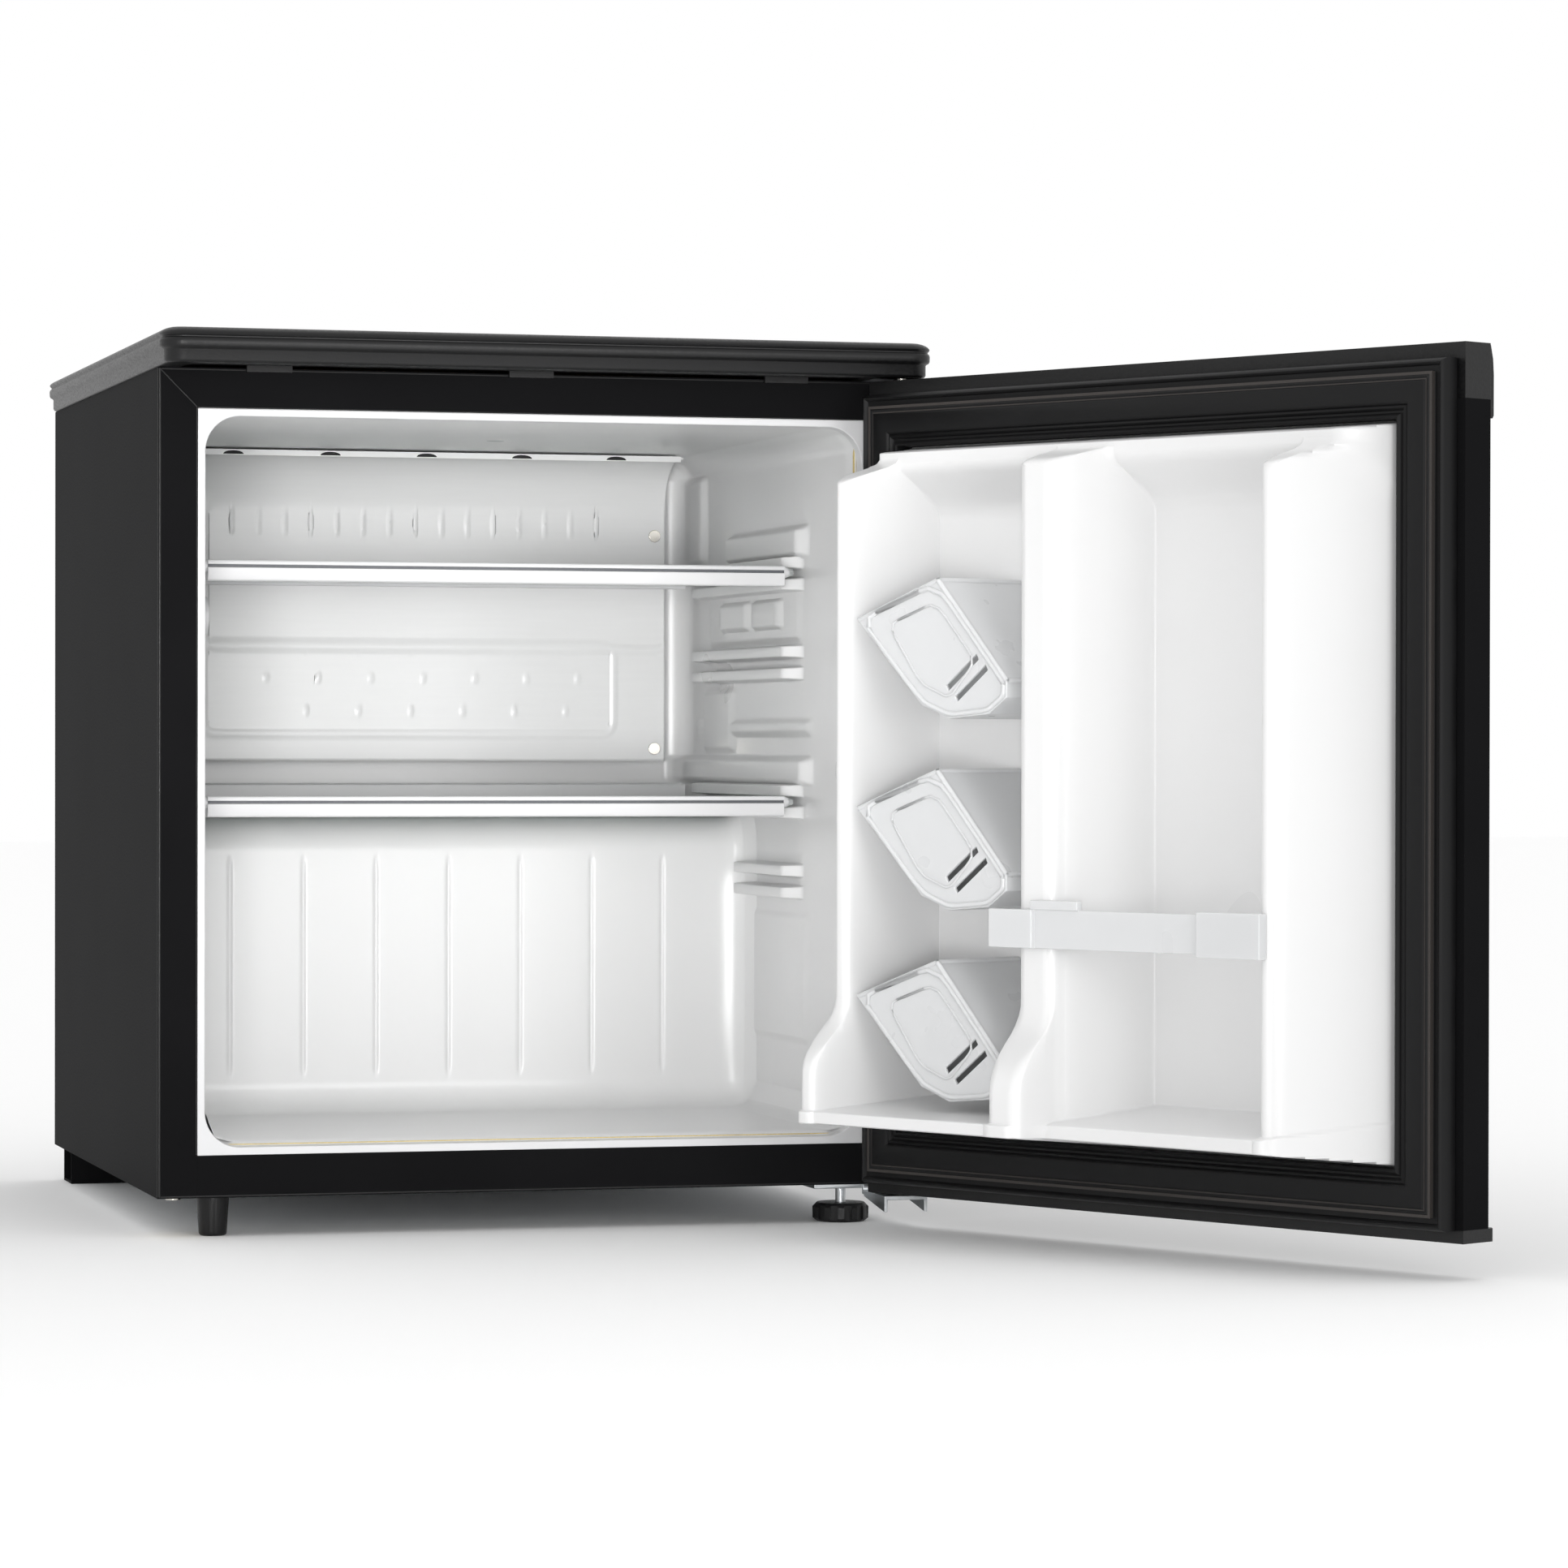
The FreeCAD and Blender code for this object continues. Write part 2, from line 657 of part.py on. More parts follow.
trim_block = box(
    "trim_block", "-mouth", "mouth", "front", "front + trim_depth", "mouth_bottom", "mouth_top"
)
trim_hole = prism(
    "trim_hole",
    "XZ_Plane",
    rect(
        "-mouth + trim_width",
        "mouth - trim_width",
        "mouth_bottom + trim_width",
        "mouth_top - trim_width",
    ),
    "front - 1",
    "front + trim_depth + 1",
)
round_edges(trim_hole, "mouth_radius", lambda e: runs(e, "y"))
label(cut("trim_ring", trim_block, trim_hole), "mouth_trim")

# ---------------------------------------------------------------- insulation

condenser_points = []
run_count = int(value("condenser_runs"))
for run in range(run_count):
    height = f"roof - 60 - {run} * (roof - 90 - bay_top) / (condenser_runs - 1)"
    ends = ["-condenser_half", "condenser_half"]
    if run % 2:
        ends.reverse()
    condenser_points += [(ends[0], "back - skin - 4", height), (ends[1], "back - skin - 4", height)]
condenser = label(
    tube("condenser_run", condenser_points, "tube_radius", "tube_bend"), "condenser_tube"
)

mouth_block = box(
    "mouth_block",
    "-mouth",
    "mouth",
    "front",
    "front + trim_depth + liner_wall",
    "mouth_bottom",
    "mouth_top",
)
nut_way = rod(
    "nut_way", "foot_side", "front + foot_back", "base + skin", "nut_flats * 0.62", "nut_height + 3"
)
foam_holes = group("foam_holes", mouth_block, bottom_holes, top_holes, nut_way)
foam_sides = []
for side, name in ((-1, "left"), (1, "right")):
    edges = sorted([f"{side} * (half - skin)", f"{side} * (wall + liner_wall)"], key=value)
    fore = box(
        f"foam_{name}_fore", *edges, "front + skin", "riser - skin", "base + skin", "roof - skin"
    )
    aft = box(
        f"foam_{name}_aft", *edges, "riser - skin", "back - skin", "bay_top + skin", "roof - skin"
    )
    slab = fuse(f"foam_{name}_slab", fore, aft)
    foam_sides.append(cut(f"foam_{name}_cut", slab, foam_holes))
label(group("foam_side_pair", *foam_sides), "foam_sides")

SPAN = ("-wall - liner_wall", "wall + liner_wall")
foam_top = box(
    "foam_top_slab", *SPAN, "front + skin", "rear_wall + liner_wall", "ceiling + liner_wall", "roof - skin"
)
label(cut("foam_top_cut", foam_top, mouth_block), "foam_top")
foam_floor = box(
    "foam_floor_slab", *SPAN, "front + skin", "riser - skin", "base + skin", "floor - liner_wall"
)
label(cut("foam_floor_cut", foam_floor, foam_holes), "foam_floor")
foam_back = box(
    "foam_back_slab",
    *SPAN,
    "rear_wall + liner_wall",
    "back - skin",
    "bay_top + skin",
    "roof - skin",
)
label(cut("foam_back_cut", foam_back, condenser), "foam_back")
foam_step = prism(
    "foam_step_body",
    "YZ_Plane",
    [
        ("step_face + liner_wall", "floor - liner_wall"),
        ("riser - skin", "floor - liner_wall"),
        ("riser - skin", "bay_top + skin"),
        ("rear_wall + liner_wall", "bay_top + skin"),
        ("rear_wall + liner_wall", "step_top - liner_wall"),
        ("step_face + liner_wall", "step_top - liner_wall"),
    ],
    *SPAN,
)
round_edges(
    foam_step,
    "step_radius - liner_wall",
    lambda e: runs(e, "x")
    and near(e.BoundBox.YMin, "step_face + liner_wall")
    and near(e.BoundBox.ZMin, "step_top - liner_wall"),
)
label(foam_step, "foam_step")

# ---------------------------------------------------------------- worktop

top = prism(
    "worktop_body",
    "XY_Plane",
    rect("-half - worktop_side", "half + worktop_side", "front - worktop_front", "back"),
    "roof",
    "roof + worktop_height",
)
round_edges(
    top,
    "worktop_corner",
    lambda e: runs(e, "z") and near(e.BoundBox.YMin, "front - worktop_front"),
    "corners",
)
round_edges(
    top, "worktop_round", lambda e: near(e.BoundBox.ZMin, "roof + worktop_height"), "top_round"
)
relief = rect("-half - worktop_side - 1", "half + worktop_side + 1", "front - worktop_front - 1", "front")
pocket(top, "worktop_underside", "XY_Plane", relief, "roof - 1", "roof + worktop_relief")
core = rect("-half + worktop_rim", "half - worktop_rim", "front + hinge_rear", "back - worktop_rim")
pocket(top, "worktop_hollow", "XY_Plane", core, "roof - 1", "roof + worktop_core_height")
hinge_seat = rect("half - hinge_arm - 4", "half + 1", "front - 1", "front + hinge_rear - 2")
pocket(top, "worktop_hinge_seat", "XY_Plane", hinge_seat, "roof - 1", "roof + 2 * hinge_plate + 0.5")
label(top, "worktop")
label(
    prism("core_body", "XY_Plane", core, "roof", "roof + worktop_core_height"), "worktop_core"
)
clips = [
    box(
        f"clip_{i}",
        f"{i} * clip_pitch - 5 - clip_width / 2",
        f"{i} * clip_pitch - 5 + clip_width / 2",
        "front - 3",
        "front",
        "roof - 2",
        "roof + worktop_relief",
    )
    for i in (-1, 0, 1)
]
label(group("clip_row", *clips), "worktop_clips")

# ---------------------------------------------------------------- evaporator

plate = prism(
    "plate_body",
    "YZ_Plane",
    [
        ("plate_y", "plate_z"),
        ("plate_y + plate_thickness", "plate_z"),
        ("plate_y + plate_thickness", "base + plate_top + plate_thickness"),
        ("fold_front", "base + plate_top + plate_thickness"),
        ("fold_front", "base + plate_top"),
        ("plate_y", "base + plate_top"),
    ],
    "-plate_half",
    "plate_half",
)


def bend_at(y, z):
    return lambda e: runs(e, "x") and near(e.BoundBox.YMin, y) and near(e.BoundBox.ZMin, z)


round_edges(plate, "plate_bend", bend_at("plate_y", "base + plate_top"), "inner_bend")
outer_bend = bend_at("plate_y + plate_thickness", "base + plate_top + plate_thickness")
round_edges(plate, "plate_bend + plate_thickness", outer_bend, "outer_bend")
round_edges(
    plate, "plate_corner", lambda e: runs(e, "y") and near(e.BoundBox.ZMin, "plate_z"), "corners"
)
notch = rect(
    "-2 * slot_pitch - slot_width / 2",
    "-2 * slot_pitch + slot_width / 2",
    "fold_front - 1",
    "fold_front + slot_depth",
)
first = pocket(
    plate, "plate_notch", "XY_Plane", notch, "base + plate_top - 1", "base + plate_top + 4"
)
row = plate.newObject("PartDesign::LinearPattern", "plate_notches")
row.Originals = [first]
row.Direction = (next(f for f in plate.Origin.OriginFeatures if f.Role == "X_Axis"), [""])
row.Occurrences = 5
bind(row, Length="4 * slot_pitch")
plate.Tip = row
doc.recompute()

label(cut("plate_drilled", plate, plate_shanks), "evaporator_plate")
label(
    group(
        "plate_screws",
        *[
            fuse(
                f"plate_screw_{i}",
                rod(f"plate_head_{i}", x, "plate_y - head_height", z, "screw_head", "head_height", "y"),
                rod(f"plate_stem_{i}", x, "plate_y", z, "screw_radius", shank_length, "y"),
            )
            for i, (x, z) in enumerate(screw_places)
        ],
    ),
    "evaporator_screws",
)

# ---------------------------------------------------------------- thermostat

stat_box = prism(
    "stat_body",
    "XZ_Plane",
    rect("-wall", "stat_face", "base + stat_low", "base + stat_low + stat_height"),
    "front + stat_front",
    "front + stat_front + stat_length",
)
round_edges(stat_box, 4, lambda e: near(e.BoundBox.XMin, "stat_face"), "face")
spindle = rod(
    "spindle", "stat_face - 1", "stat_y", "stat_z", "spindle_radius", "spindle_length + 1", "x"
)
label(fuse("stat_done", stat_box, spindle), "thermostat_housing")

knob = doc.addObject("PartDesign::Body", "knob_body")
knob_outline = draw(
    knob,
    "knob_outline",
    "XZ_Plane",
    [
        ("spindle_radius + spindle_clearance", 0.5),
        ("knob_radius", 0.5),
        ("knob_radius - 1", "knob_height"),
        (0.01, "knob_height"),
        (0.01, "spindle_length + 0.5"),
        ("spindle_radius + spindle_clearance", "spindle_length + 0.5"),
    ],
    0,
)
knob_turn = knob.newObject("PartDesign::Revolution", "knob_turn")
knob_turn.Profile = knob_outline
knob_turn.ReferenceAxis = (knob_outline, ["V_Axis"])
knob_turn.Angle = 360
doc.recompute()
pocket(
    knob,
    "knob_grip",
    "XY_Plane",
    rect(-2, 2, "knob_radius - 2.5", "knob_radius + 1"),
    "knob_height - 2",
    "knob_height + 1",
)
knob.Placement.Rotation = FreeCAD.Rotation(FreeCAD.Vector(0, 1, 0), 90)
move(knob, "stat_face", "stat_y", "stat_z")
label(knob, "thermostat_knob")

label(
    tube(
        "sensor_run",
        [
            ("-wall + 6", "front + stat_front + stat_length", "stat_z"),
            ("-wall + 6", "plate_y + plate_thickness + 12", "stat_z"),
            ("-plate_half + 40", "plate_y + plate_thickness + 12", "stat_z"),
        ],
        "capillary_radius",
        6,
    ),
    "thermostat_sensor",
)

# ---------------------------------------------------------------- shelves


def shelf(name, level):
    """A glass shelf in its front and rear trims; the front trim carries an end pin each side."""
    low = f"base + {level}"
    start = "front + shelf_front"
    end = "front + shelf_front + shelf_depth"
    trim_half = "shelf_trim_width / 2"
    label(
        box(
            f"{name}_sheet",
            "-glass_half",
            "glass_half",
            f"{start} + 3",
            f"{end} - 2",
            low,
            f"{low} + glass",
        ),
        f"{name}_glass",
    )
    front_trim = prism(
        f"{name}_front_body",
        "YZ_Plane",
        [
            (start, f"{low} - 6.5"),
            (f"{start} + 2", f"{low} - 6.5"),
            (f"{start} + 2", f"{low} - 1.5"),
            (f"{start} + 12", f"{low} - 1.5"),
            (f"{start} + 12", low),
            (f"{start} + 3", low),
            (f"{start} + 3", f"{low} + glass"),
            (f"{start} + 12", f"{low} + glass"),
            (f"{start} + 12", f"{low} + glass + 2"),
            (start, f"{low} + glass + 2"),
            (start, f"{low} + glass - 0.6"),
            (f"{start} + 1.2", f"{low} + glass - 0.6"),
            (f"{start} + 1.2", f"{low} + 1.4"),
            (start, f"{low} + 1.4"),
        ],
        f"-{trim_half}",
        trim_half,
    )
    pins = []
    for side, word in ((-1, "left"), (1, "right")):
        ends = sorted([f"{side} * {trim_half}", f"{side} * (glass_half + 0.5)"], key=value)
        pins.append(
            box(
                f"{name}_pin_{word}",
                ends[0],
                ends[1],
                start,
                f"{start} + 2.6",
                f"{low} - 5",
                f"{low} + 1",
            )
        )
    label(fuse(f"{name}_front_done", front_trim, *pins), f"{name}_front_trim")
    label(
        prism(
            f"{name}_rear_body",
            "YZ_Plane",
            [
                (f"{end} - 12", f"{low} - 1.5"),
                (end, f"{low} - 1.5"),
                (end, f"{low} + glass + 8"),
                (f"{end} - 2", f"{low} + glass + 8"),
                (f"{end} - 2", f"{low} + glass + 2"),
                (f"{end} - 12", f"{low} + glass + 2"),
                (f"{end} - 12", f"{low} + glass"),
                (f"{end} - 2", f"{low} + glass"),
                (f"{end} - 2", low),
                (f"{end} - 12", low),
            ],
            f"-{trim_half}",
            trim_half,
        ),
        f"{name}_rear_trim",
    )


shelf("upper_shelf", "upper_shelf")
shelf("lower_shelf", "lower_shelf")

# ---------------------------------------------------------------- door


def door_plan(inset, front_y="door_out"):
    """Door outline seen from above, drawn in by a wall thickness."""
    side = f"half - {inset}"
    face = f"{front_y} + {inset}"
    return [
        (f"-({side})", f"door_in - {inset}"),
        (side, f"door_in - {inset}"),
        (side, f"{face} + door_edge_bevel"),
        (f"{side} - door_edge_bevel", face),
        (f"-({side}) + door_edge_bevel", face),
        (f"-({side})", f"{face} + door_edge_bevel"),
    ]


skin_body = prism("door_skin_body", "XY_Plane", door_plan("0"), "cap_foot", "cap_low")
pocket(skin_body, "skin_hollow", "XY_Plane", door_plan("door_skin"), "cap_foot - 1", "cap_low + 1")
skin_open = rect("-half + door_lip", "half - door_lip", "door_in - 2", "door_in + 1")
pocket(skin_body, "skin_opening", "XY_Plane", skin_open, "cap_foot - 1", "cap_low + 1")
label(swing(skin_body), "door_skin")

bush_radius = "pin_radius + pin_clearance + bush_wall"
top_bush_hole = rod("top_bush_hole", "pin_x", "pin_y", "door_head - pin_depth", bush_radius, "pin_depth + 1")
bottom_bush_hole = rod("bottom_bush_hole", "pin_x", "pin_y", "door_foot - 1", bush_radius, "pin_depth + 1")

cap = prism("top_cap_body", "XY_Plane", door_plan("0"), "cap_low", "door_head")
lip = prism(
    "handle_lip",
    "YZ_Plane",
    [
        ("door_out + 1", "door_head"),
        ("door_out - 1", "door_head - 0.5"),
        ("door_out - handle_bulge + 0.6", "door_head - 8"),
        ("door_out - handle_bulge", "door_head - 16"),
        ("door_out - handle_bulge", "door_head - handle_drop + 1.5"),
        ("door_out - handle_bulge + 1", "door_head - handle_drop"),
        ("door_out - 0.3", "door_head - handle_drop"),
        ("door_out - 0.3", "cap_low + 1"),
        ("door_out + 1", "cap_low + 1"),
    ],
    "-half + door_edge_bevel",
    "half - door_edge_bevel",
)
cap_hollow = box(
    "cap_hollow",
    "-half + door_lip",
    "pin_x - pin_radius - 6",
    "door_out + cap_wall",
    "liner_back - cap_wall",
    "cap_low - 1",
    "door_head - cap_wall",
)
liner_seat = box(
    "liner_seat",
    "-liner_half",
    "liner_half",
    "liner_back",
    "door_in + 1",
    "liner_low",
    "liner_high",
)
cap_voids = group("cap_voids", cap_hollow, liner_seat, top_bush_hole)
cap_done = cut("top_cap_done", fuse("top_cap_solid", cap, lip), cap_voids)
label(swing(cap_done), "door_top_cap")

foot_cap = prism(
    "bottom_cap_solid",
    "XY_Plane",
    door_plan("0", "door_out - handle_bulge"),
    "door_foot",
    "cap_foot",
)
foot_cap_done = cut("bottom_cap_done", foot_cap, bottom_bush_hole)
label(swing(foot_cap_done), "door_bottom_cap")

bushings = []
for name, low, high in (
    ("top_bushing", "door_head - pin_depth", "door_head"),
    ("bottom_bushing", "door_foot", "door_foot + pin_depth"),
):
    shell = rod(f"{name}_shell", "pin_x", "pin_y", low, bush_radius, f"({high}) - ({low})")
    bore = rod(
        f"{name}_bore",
        "pin_x",
        "pin_y",
        f"{low} - 1",
        "pin_radius + pin_clearance",
        f"({high}) - ({low}) + 2",
    )
    bushings.append(cut(f"{name}_done", shell, bore))
label(swing(group("bushing_pair", *bushings)), "hinge_bushings")


def bin_form(name, draw_in):
    """The raised bins on the door's inner side, drawn in by a wall thickness."""
    o = draw_in
    low = f"base + bin_bottom + {o}"
    high = f"base + bin_top - {o}"
    tip = f"front + bin_reach - {o}"
    low_tip = f"base + bin_bottom + bin_draft + {o}"
    deep_tip = f"front + bin_reach + bin_bulge - {o}"
    root = "liner_back"
    plinth = box(
        f"{name}_plinth", f"-bin_side + {o}", f"bin_side - {o}", root, f"front - bin_back - {o}", low, high
    )
    hinge_side = wedge(
        f"{name}_hinge_wall",
        (f"hinge_wall_in - 4 + {o}", f"bin_side - {o}", low, high, root),
        (f"hinge_wall_in + {o}", f"hinge_wall_out - {o}", low_tip, f"{high} - 21", tip),
    )
    divider = wedge(
        f"{name}_divider",
        (f"divider_left - bin_draft - 4 + {o}", f"divider_right + bin_draft - {o}", low, high, root),
        (f"divider_left + {o}", f"divider_right - {o}", low_tip, f"{high} - 15", tip),
    )
    free_side = wedge(
        f"{name}_free_wall",
        (f"-bin_side + {o}", f"-free_wall_in + 5 - {o}", low, high, root),
        (f"-free_wall_out + {o}", f"-free_wall_in - {o}", low_tip, f"{high} - 23", tip),
    )
    roof_piece = wedge(
        f"{name}_roof",
        (f"-bin_side + {o}", f"bin_side - {o}", f"{high} - 40 + 2 * {o}", high, root),
        (
            f"-bin_side + 12 + {o}",
            f"bin_side - 8 - {o}",
            f"{high} - 14 + 2 * {o}",
            f"{high} - 4",
            f"front + 24 - {o}",
        ),
    )
    bottle_floor = wedge(
        f"{name}_bottle_floor",
        (f"-bin_side + {o}", "divider_right", low, f"{low} + 24 - 2 * {o}", root),
        (f"-free_wall_out + {o}", "divider_right", low_tip, f"{low_tip} + 8 - 2 * {o}", f"{tip} + 4"),
    )
    can_floor = wedge(
        f"{name}_can_floor",
        ("divider_left + 6", f"bin_side - {o}", low, f"{low} + 22 - 2 * {o}", root),
        ("divider_left + 6", f"hinge_wall_out - {o}", f"{low_tip} + 1", f"{low_tip} + 8 - 2 * {o}", deep_tip),
    )
    hinge_bulge = wedge(
        f"{name}_hinge_bulge",
        (
            f"hinge_wall_in - 1 + {o}",
            f"hinge_wall_out + 3 - {o}",
            low_tip,
            f"base + bulge_top - {o}",
            "front + 40",
        ),
        (
            f"hinge_wall_in + 1 + {o}",
            f"hinge_wall_out - {o}",
            f"{low_tip} + 1",
            f"base + bulge_top - 45 - {o}",
            deep_tip,
        ),
    )
    divider_bulge = wedge(
        f"{name}_divider_bulge",
        (
            f"divider_left + 1 + {o}",
            f"divider_right - 1 - {o}",
            low_tip,
            f"base + bulge_top - {o}",
            "front + 40",
        ),
        (
            f"divider_left + 2 + {o}",
            f"divider_right - 2 - {o}",
            f"{low_tip} + 1",
            f"base + bulge_top - 45 - {o}",
            deep_tip,
        ),
    )
    return [
        plinth,
        hinge_side,
        divider,
        free_side,
        roof_piece,
        bottle_floor,
        can_floor,
        hinge_bulge,
        divider_bulge,
    ]


liner_flange_plate = box(
    "liner_flange_plate", "-liner_half", "liner_half", "liner_back", "door_in", "liner_low", "liner_high"
)
bins_out = fuse("bins_out", liner_flange_plate, *bin_form("bins", "0"))
bins_in = fuse("bins_in", *bin_form("bins_core", "door_liner_wall"))
door_liner = cut("door_liner_done", bins_out, bins_in)
label(swing(door_liner), "door_liner")

foam_slab = prism(
    "door_foam_slab", "XY_Plane", door_plan("door_skin"), "cap_foot", "cap_low"
)
foam_trim = box("door_foam_trim", "-half", "half", "liner_back", "door_in + 1", "base - 9", "roof")
foam_flat = cut("door_foam_flat", foam_slab, foam_trim)
bins_foam = fuse("bins_foam", *bin_form("bins_fill", "door_liner_wall"))
door_foam = cut("door_foam_done", fuse("door_foam_solid", foam_flat, bins_foam), bottom_bush_hole)
label(swing(door_foam), "door_foam")


def ring(name, outer, inner, low, high, y0, y1):
    """A flat rectangular frame on the door's inner side."""
    body = prism(name, "XZ_Plane", rect(f"-({outer})", outer, low[0], high[0]), y0, y1)
    pocket(
        body,
        f"{name}_hole",
        "XZ_Plane",
        rect(f"-({inner})", inner, low[1], high[1]),
        f"{y0} - 1",
        f"{y1} + 1",
    )
    return body


seal_inner_low = "seal_low + gasket_width"
seal_inner_high = "seal_high - gasket_width"
sealing_face = "front - gasket_gap"
gasket_base = ring(
    "gasket_base",
    "seal_out",
    "seal_in",
    ("seal_low", seal_inner_low),
    ("seal_high", seal_inner_high),
    "door_in",
    f"{sealing_face} - gasket_drop",
)
gasket_crown = ring(
    "gasket_crown",
    "seal_out - gasket_ledge",
    "seal_in",
    ("seal_low + gasket_ledge", seal_inner_low),
    ("seal_high - gasket_ledge", seal_inner_high),
    "door_in",
    sealing_face,
)
magnet_inset = "(gasket_ledge + magnet_cover)"
magnet_edges = (
    f"seal_out - {magnet_inset}",
    f"seal_out - {magnet_inset} - magnet_width",
    (f"seal_low + {magnet_inset}", f"seal_low + {magnet_inset} + magnet_width"),
    (f"seal_high - {magnet_inset}", f"seal_high - {magnet_inset} - magnet_width"),
    f"{sealing_face} - magnet_skin - magnet_height",
    f"{sealing_face} - magnet_skin",
)
magnet_core = ring("magnet_core", *magnet_edges)
gasket = cut("gasket_done", fuse("gasket_solid", gasket_base, gasket_crown), magnet_core)
label(swing(gasket), "door_gasket")
label(swing(ring("magnet_ring", *magnet_edges)), "gasket_magnet")


def slanted(x0, z0, x1, z1, lift, width=3):
    """A slanted slot between two points of a can holder's face."""
    return [
        (x0, f"{lift} + {z0}"),
        (f"{x0} + {width} * 0.6", f"{lift} + {z0} + {width}"),
        (f"{x1} + {width} * 0.6", f"{lift} + {z1} + {width}"),
        (x1, f"{lift} + {z1}"),
    ]


for order, word in enumerate(("upper", "middle", "lower")):
    lift = f"base - {order} * dispenser_pitch"
    rear = "front - bin_back + dispenser_gap"
    face = "front + dispenser_reach"
    wall_x = "hinge_wall_in - 4 - dispenser_gap"
    side_x = "divider_right + bin_draft + dispenser_gap"
    holder = prism(
        f"holder_{word}",
        "XZ_Plane",
        [
            (wall_x, f"{lift} + 328"),
            (92, f"{lift} + 349"),
            (side_x, f"{lift} + 292"),
            (side_x, f"{lift} + 283"),
            (52, f"{lift} + 274"),
            (82, f"{lift} + 271.5"),
            (104, f"{lift} + 279"),
        ],
        rear,
        face,
    )
    pocket(
        holder,
        f"holder_{word}_well",
        "XZ_Plane",
        [
            (f"{wall_x} - 2.6", f"{lift} + 327"),
            (f"{wall_x} - 2.6", f"{lift} + 360"),
            (93, f"{lift} + 362"),
            (93, f"{lift} + 346.5"),
            (f"{side_x} + dispenser_wall", f"{lift} + 291.5"),
            (f"{side_x} + dispenser_wall", f"{lift} + 284.5"),
            (53, f"{lift} + 276"),
            (81.5, f"{lift} + 273.6"),
            (103, f"{lift} + 280.8"),
        ],
        f"{rear} + dispenser_wall",
        f"{face} - dispenser_wall",
    )
    for number, (x0, z0, x1, z1) in enumerate(((83, 287, 60, 304), (76, 281, 53, 298))):
        pocket(
            holder,
            f"holder_{word}_slot_{number}",
            "XZ_Plane",
            slanted(x0, z0, x1, z1, lift),
            f"{face} - dispenser_wall - 1",
            f"{face} + 1",
        )
    label(swing(holder), f"can_dispenser_{word}")

bar_low = "base + bar_bottom"
bar_high = "base + bar_bottom + bar_height"
bar_face = "front + bin_reach + bar_gap"
bar_strip = box(
    "bar_strip", "-free_wall_in", "divider_right", bar_face, f"{bar_face} + bar_thickness", bar_low, bar_high
)
bar_block_free = box(
    "bar_block_free",
    "-free_wall_out + 2",
    "-free_wall_in + 38",
    bar_face,
    f"{bar_face} + 2 * bar_thickness",
    f"{bar_low} - 1.5",
    f"{bar_high} + 1.5",
)
bar_block_divider = box(
    "bar_block_divider",
    "divider_left + 10",
    "divider_right + 14",
    bar_face,
    f"{bar_face} + 2 * bar_thickness",
    bar_low,
    bar_high,
)
bar_tab = box(
    "bar_tab",
    "divider_left - 22",
    "divider_left + 13",
    bar_face,
    f"{bar_face} + bar_thickness + 1",
    bar_high,
    f"{bar_high} + 5",
)
bar_hooks = [
    box(
        f"bar_hook_{word}",
        x,
        f"{x} + bar_thickness",
        f"{bar_face} - hook_length",
        bar_face,
        f"{bar_low} + 2",
        f"{bar_high} - 2",
    )
    for word, x in (("free", "-free_wall_in + 2"), ("divider", "divider_left - 8"))
]
bar = fuse(
    "bar_done", bar_strip, bar_block_free, bar_block_divider, bar_tab, *bar_hooks
)
label(swing(bar), "bottle_bar")

# ---------------------------------------------------------------- hinges


def bolts(name, side, top):
    """Two bolts into the body, from above or from below."""
    plated = top or side > 0
    thickness = "hinge_plate" if plated else "0"
    head = f"roof + {thickness}" if top else f"base - {thickness} - head_height"
    stem = "roof - bolt_length" if top else f"base - {thickness}"
    return [
        fuse(
            f"{name}_{i}",
            rod(f"{name}_stem_{i}", f"{side} * bolt_x", y, stem, "bolt_radius", f"bolt_length + {thickness}"),
            rod(f"{name}_head_{i}", f"{side} * bolt_x", y, head, "bolt_head", "head_height"),
        )
        for i, y in enumerate(BOLT_YS)
    ]


top_plate = box(
    "top_plate",
    "half - hinge_arm",
    "half - 1",
    "front - hinge_arm_front + 6",
    "front + hinge_rear - 4",
    "roof",
    "roof + hinge_plate",
)
label(cut("top_plate_done", top_plate, top_holes), "top_hinge_plate")
top_pin = rod(
    "top_pin",
    "pin_x",
    "pin_y",
    "door_head - pin_depth + 1",
    "pin_radius",
    "roof - door_head + pin_depth - 1",
)

arm_low = "base - hinge_drop - hinge_plate"
bottom_plate = box(
    "bottom_plate",
    "half - hinge_wide",
    "half",
    "front + 2",
    "front + hinge_rear",
    "base - hinge_plate",
    "base",
)
bottom_riser = box(
    "bottom_riser", "half - hinge_arm + 1", "half", "front - 0.5", "front + 2", arm_low, "base"
)
bottom_arm = box(
    "bottom_arm",
    "half - hinge_arm + 1",
    "half + 1",
    "front - hinge_arm_front",
    "front - 0.5",
    arm_low,
    f"{arm_low} + hinge_plate",
)
wings = [
    wedge(
        f"bottom_wing_{word}",
        (x0, f"{x0} + 2", f"{arm_low} - hinge_wing", arm_low, "front - hinge_arm_front"),
        (x0, f"{x0} + 2", f"{arm_low} - 1", arm_low, "front - 2"),
    )
    for word, x0 in (("inner", "half - hinge_arm + 1"), ("outer", "half - 1"))
]
lower_pin_hole = rod("lower_pin_hole", "pin_x", "pin_y", f"{arm_low} - 1", "pin_radius", "hinge_plate + 2")
bottom_hinge = fuse("bottom_hinge_solid", bottom_plate, bottom_riser, bottom_arm, *wings)
hinge_holes = group("hinge_holes", bottom_holes, lower_pin_hole)
label(cut("bottom_hinge_done", bottom_hinge, hinge_holes), "bottom_hinge_bracket")
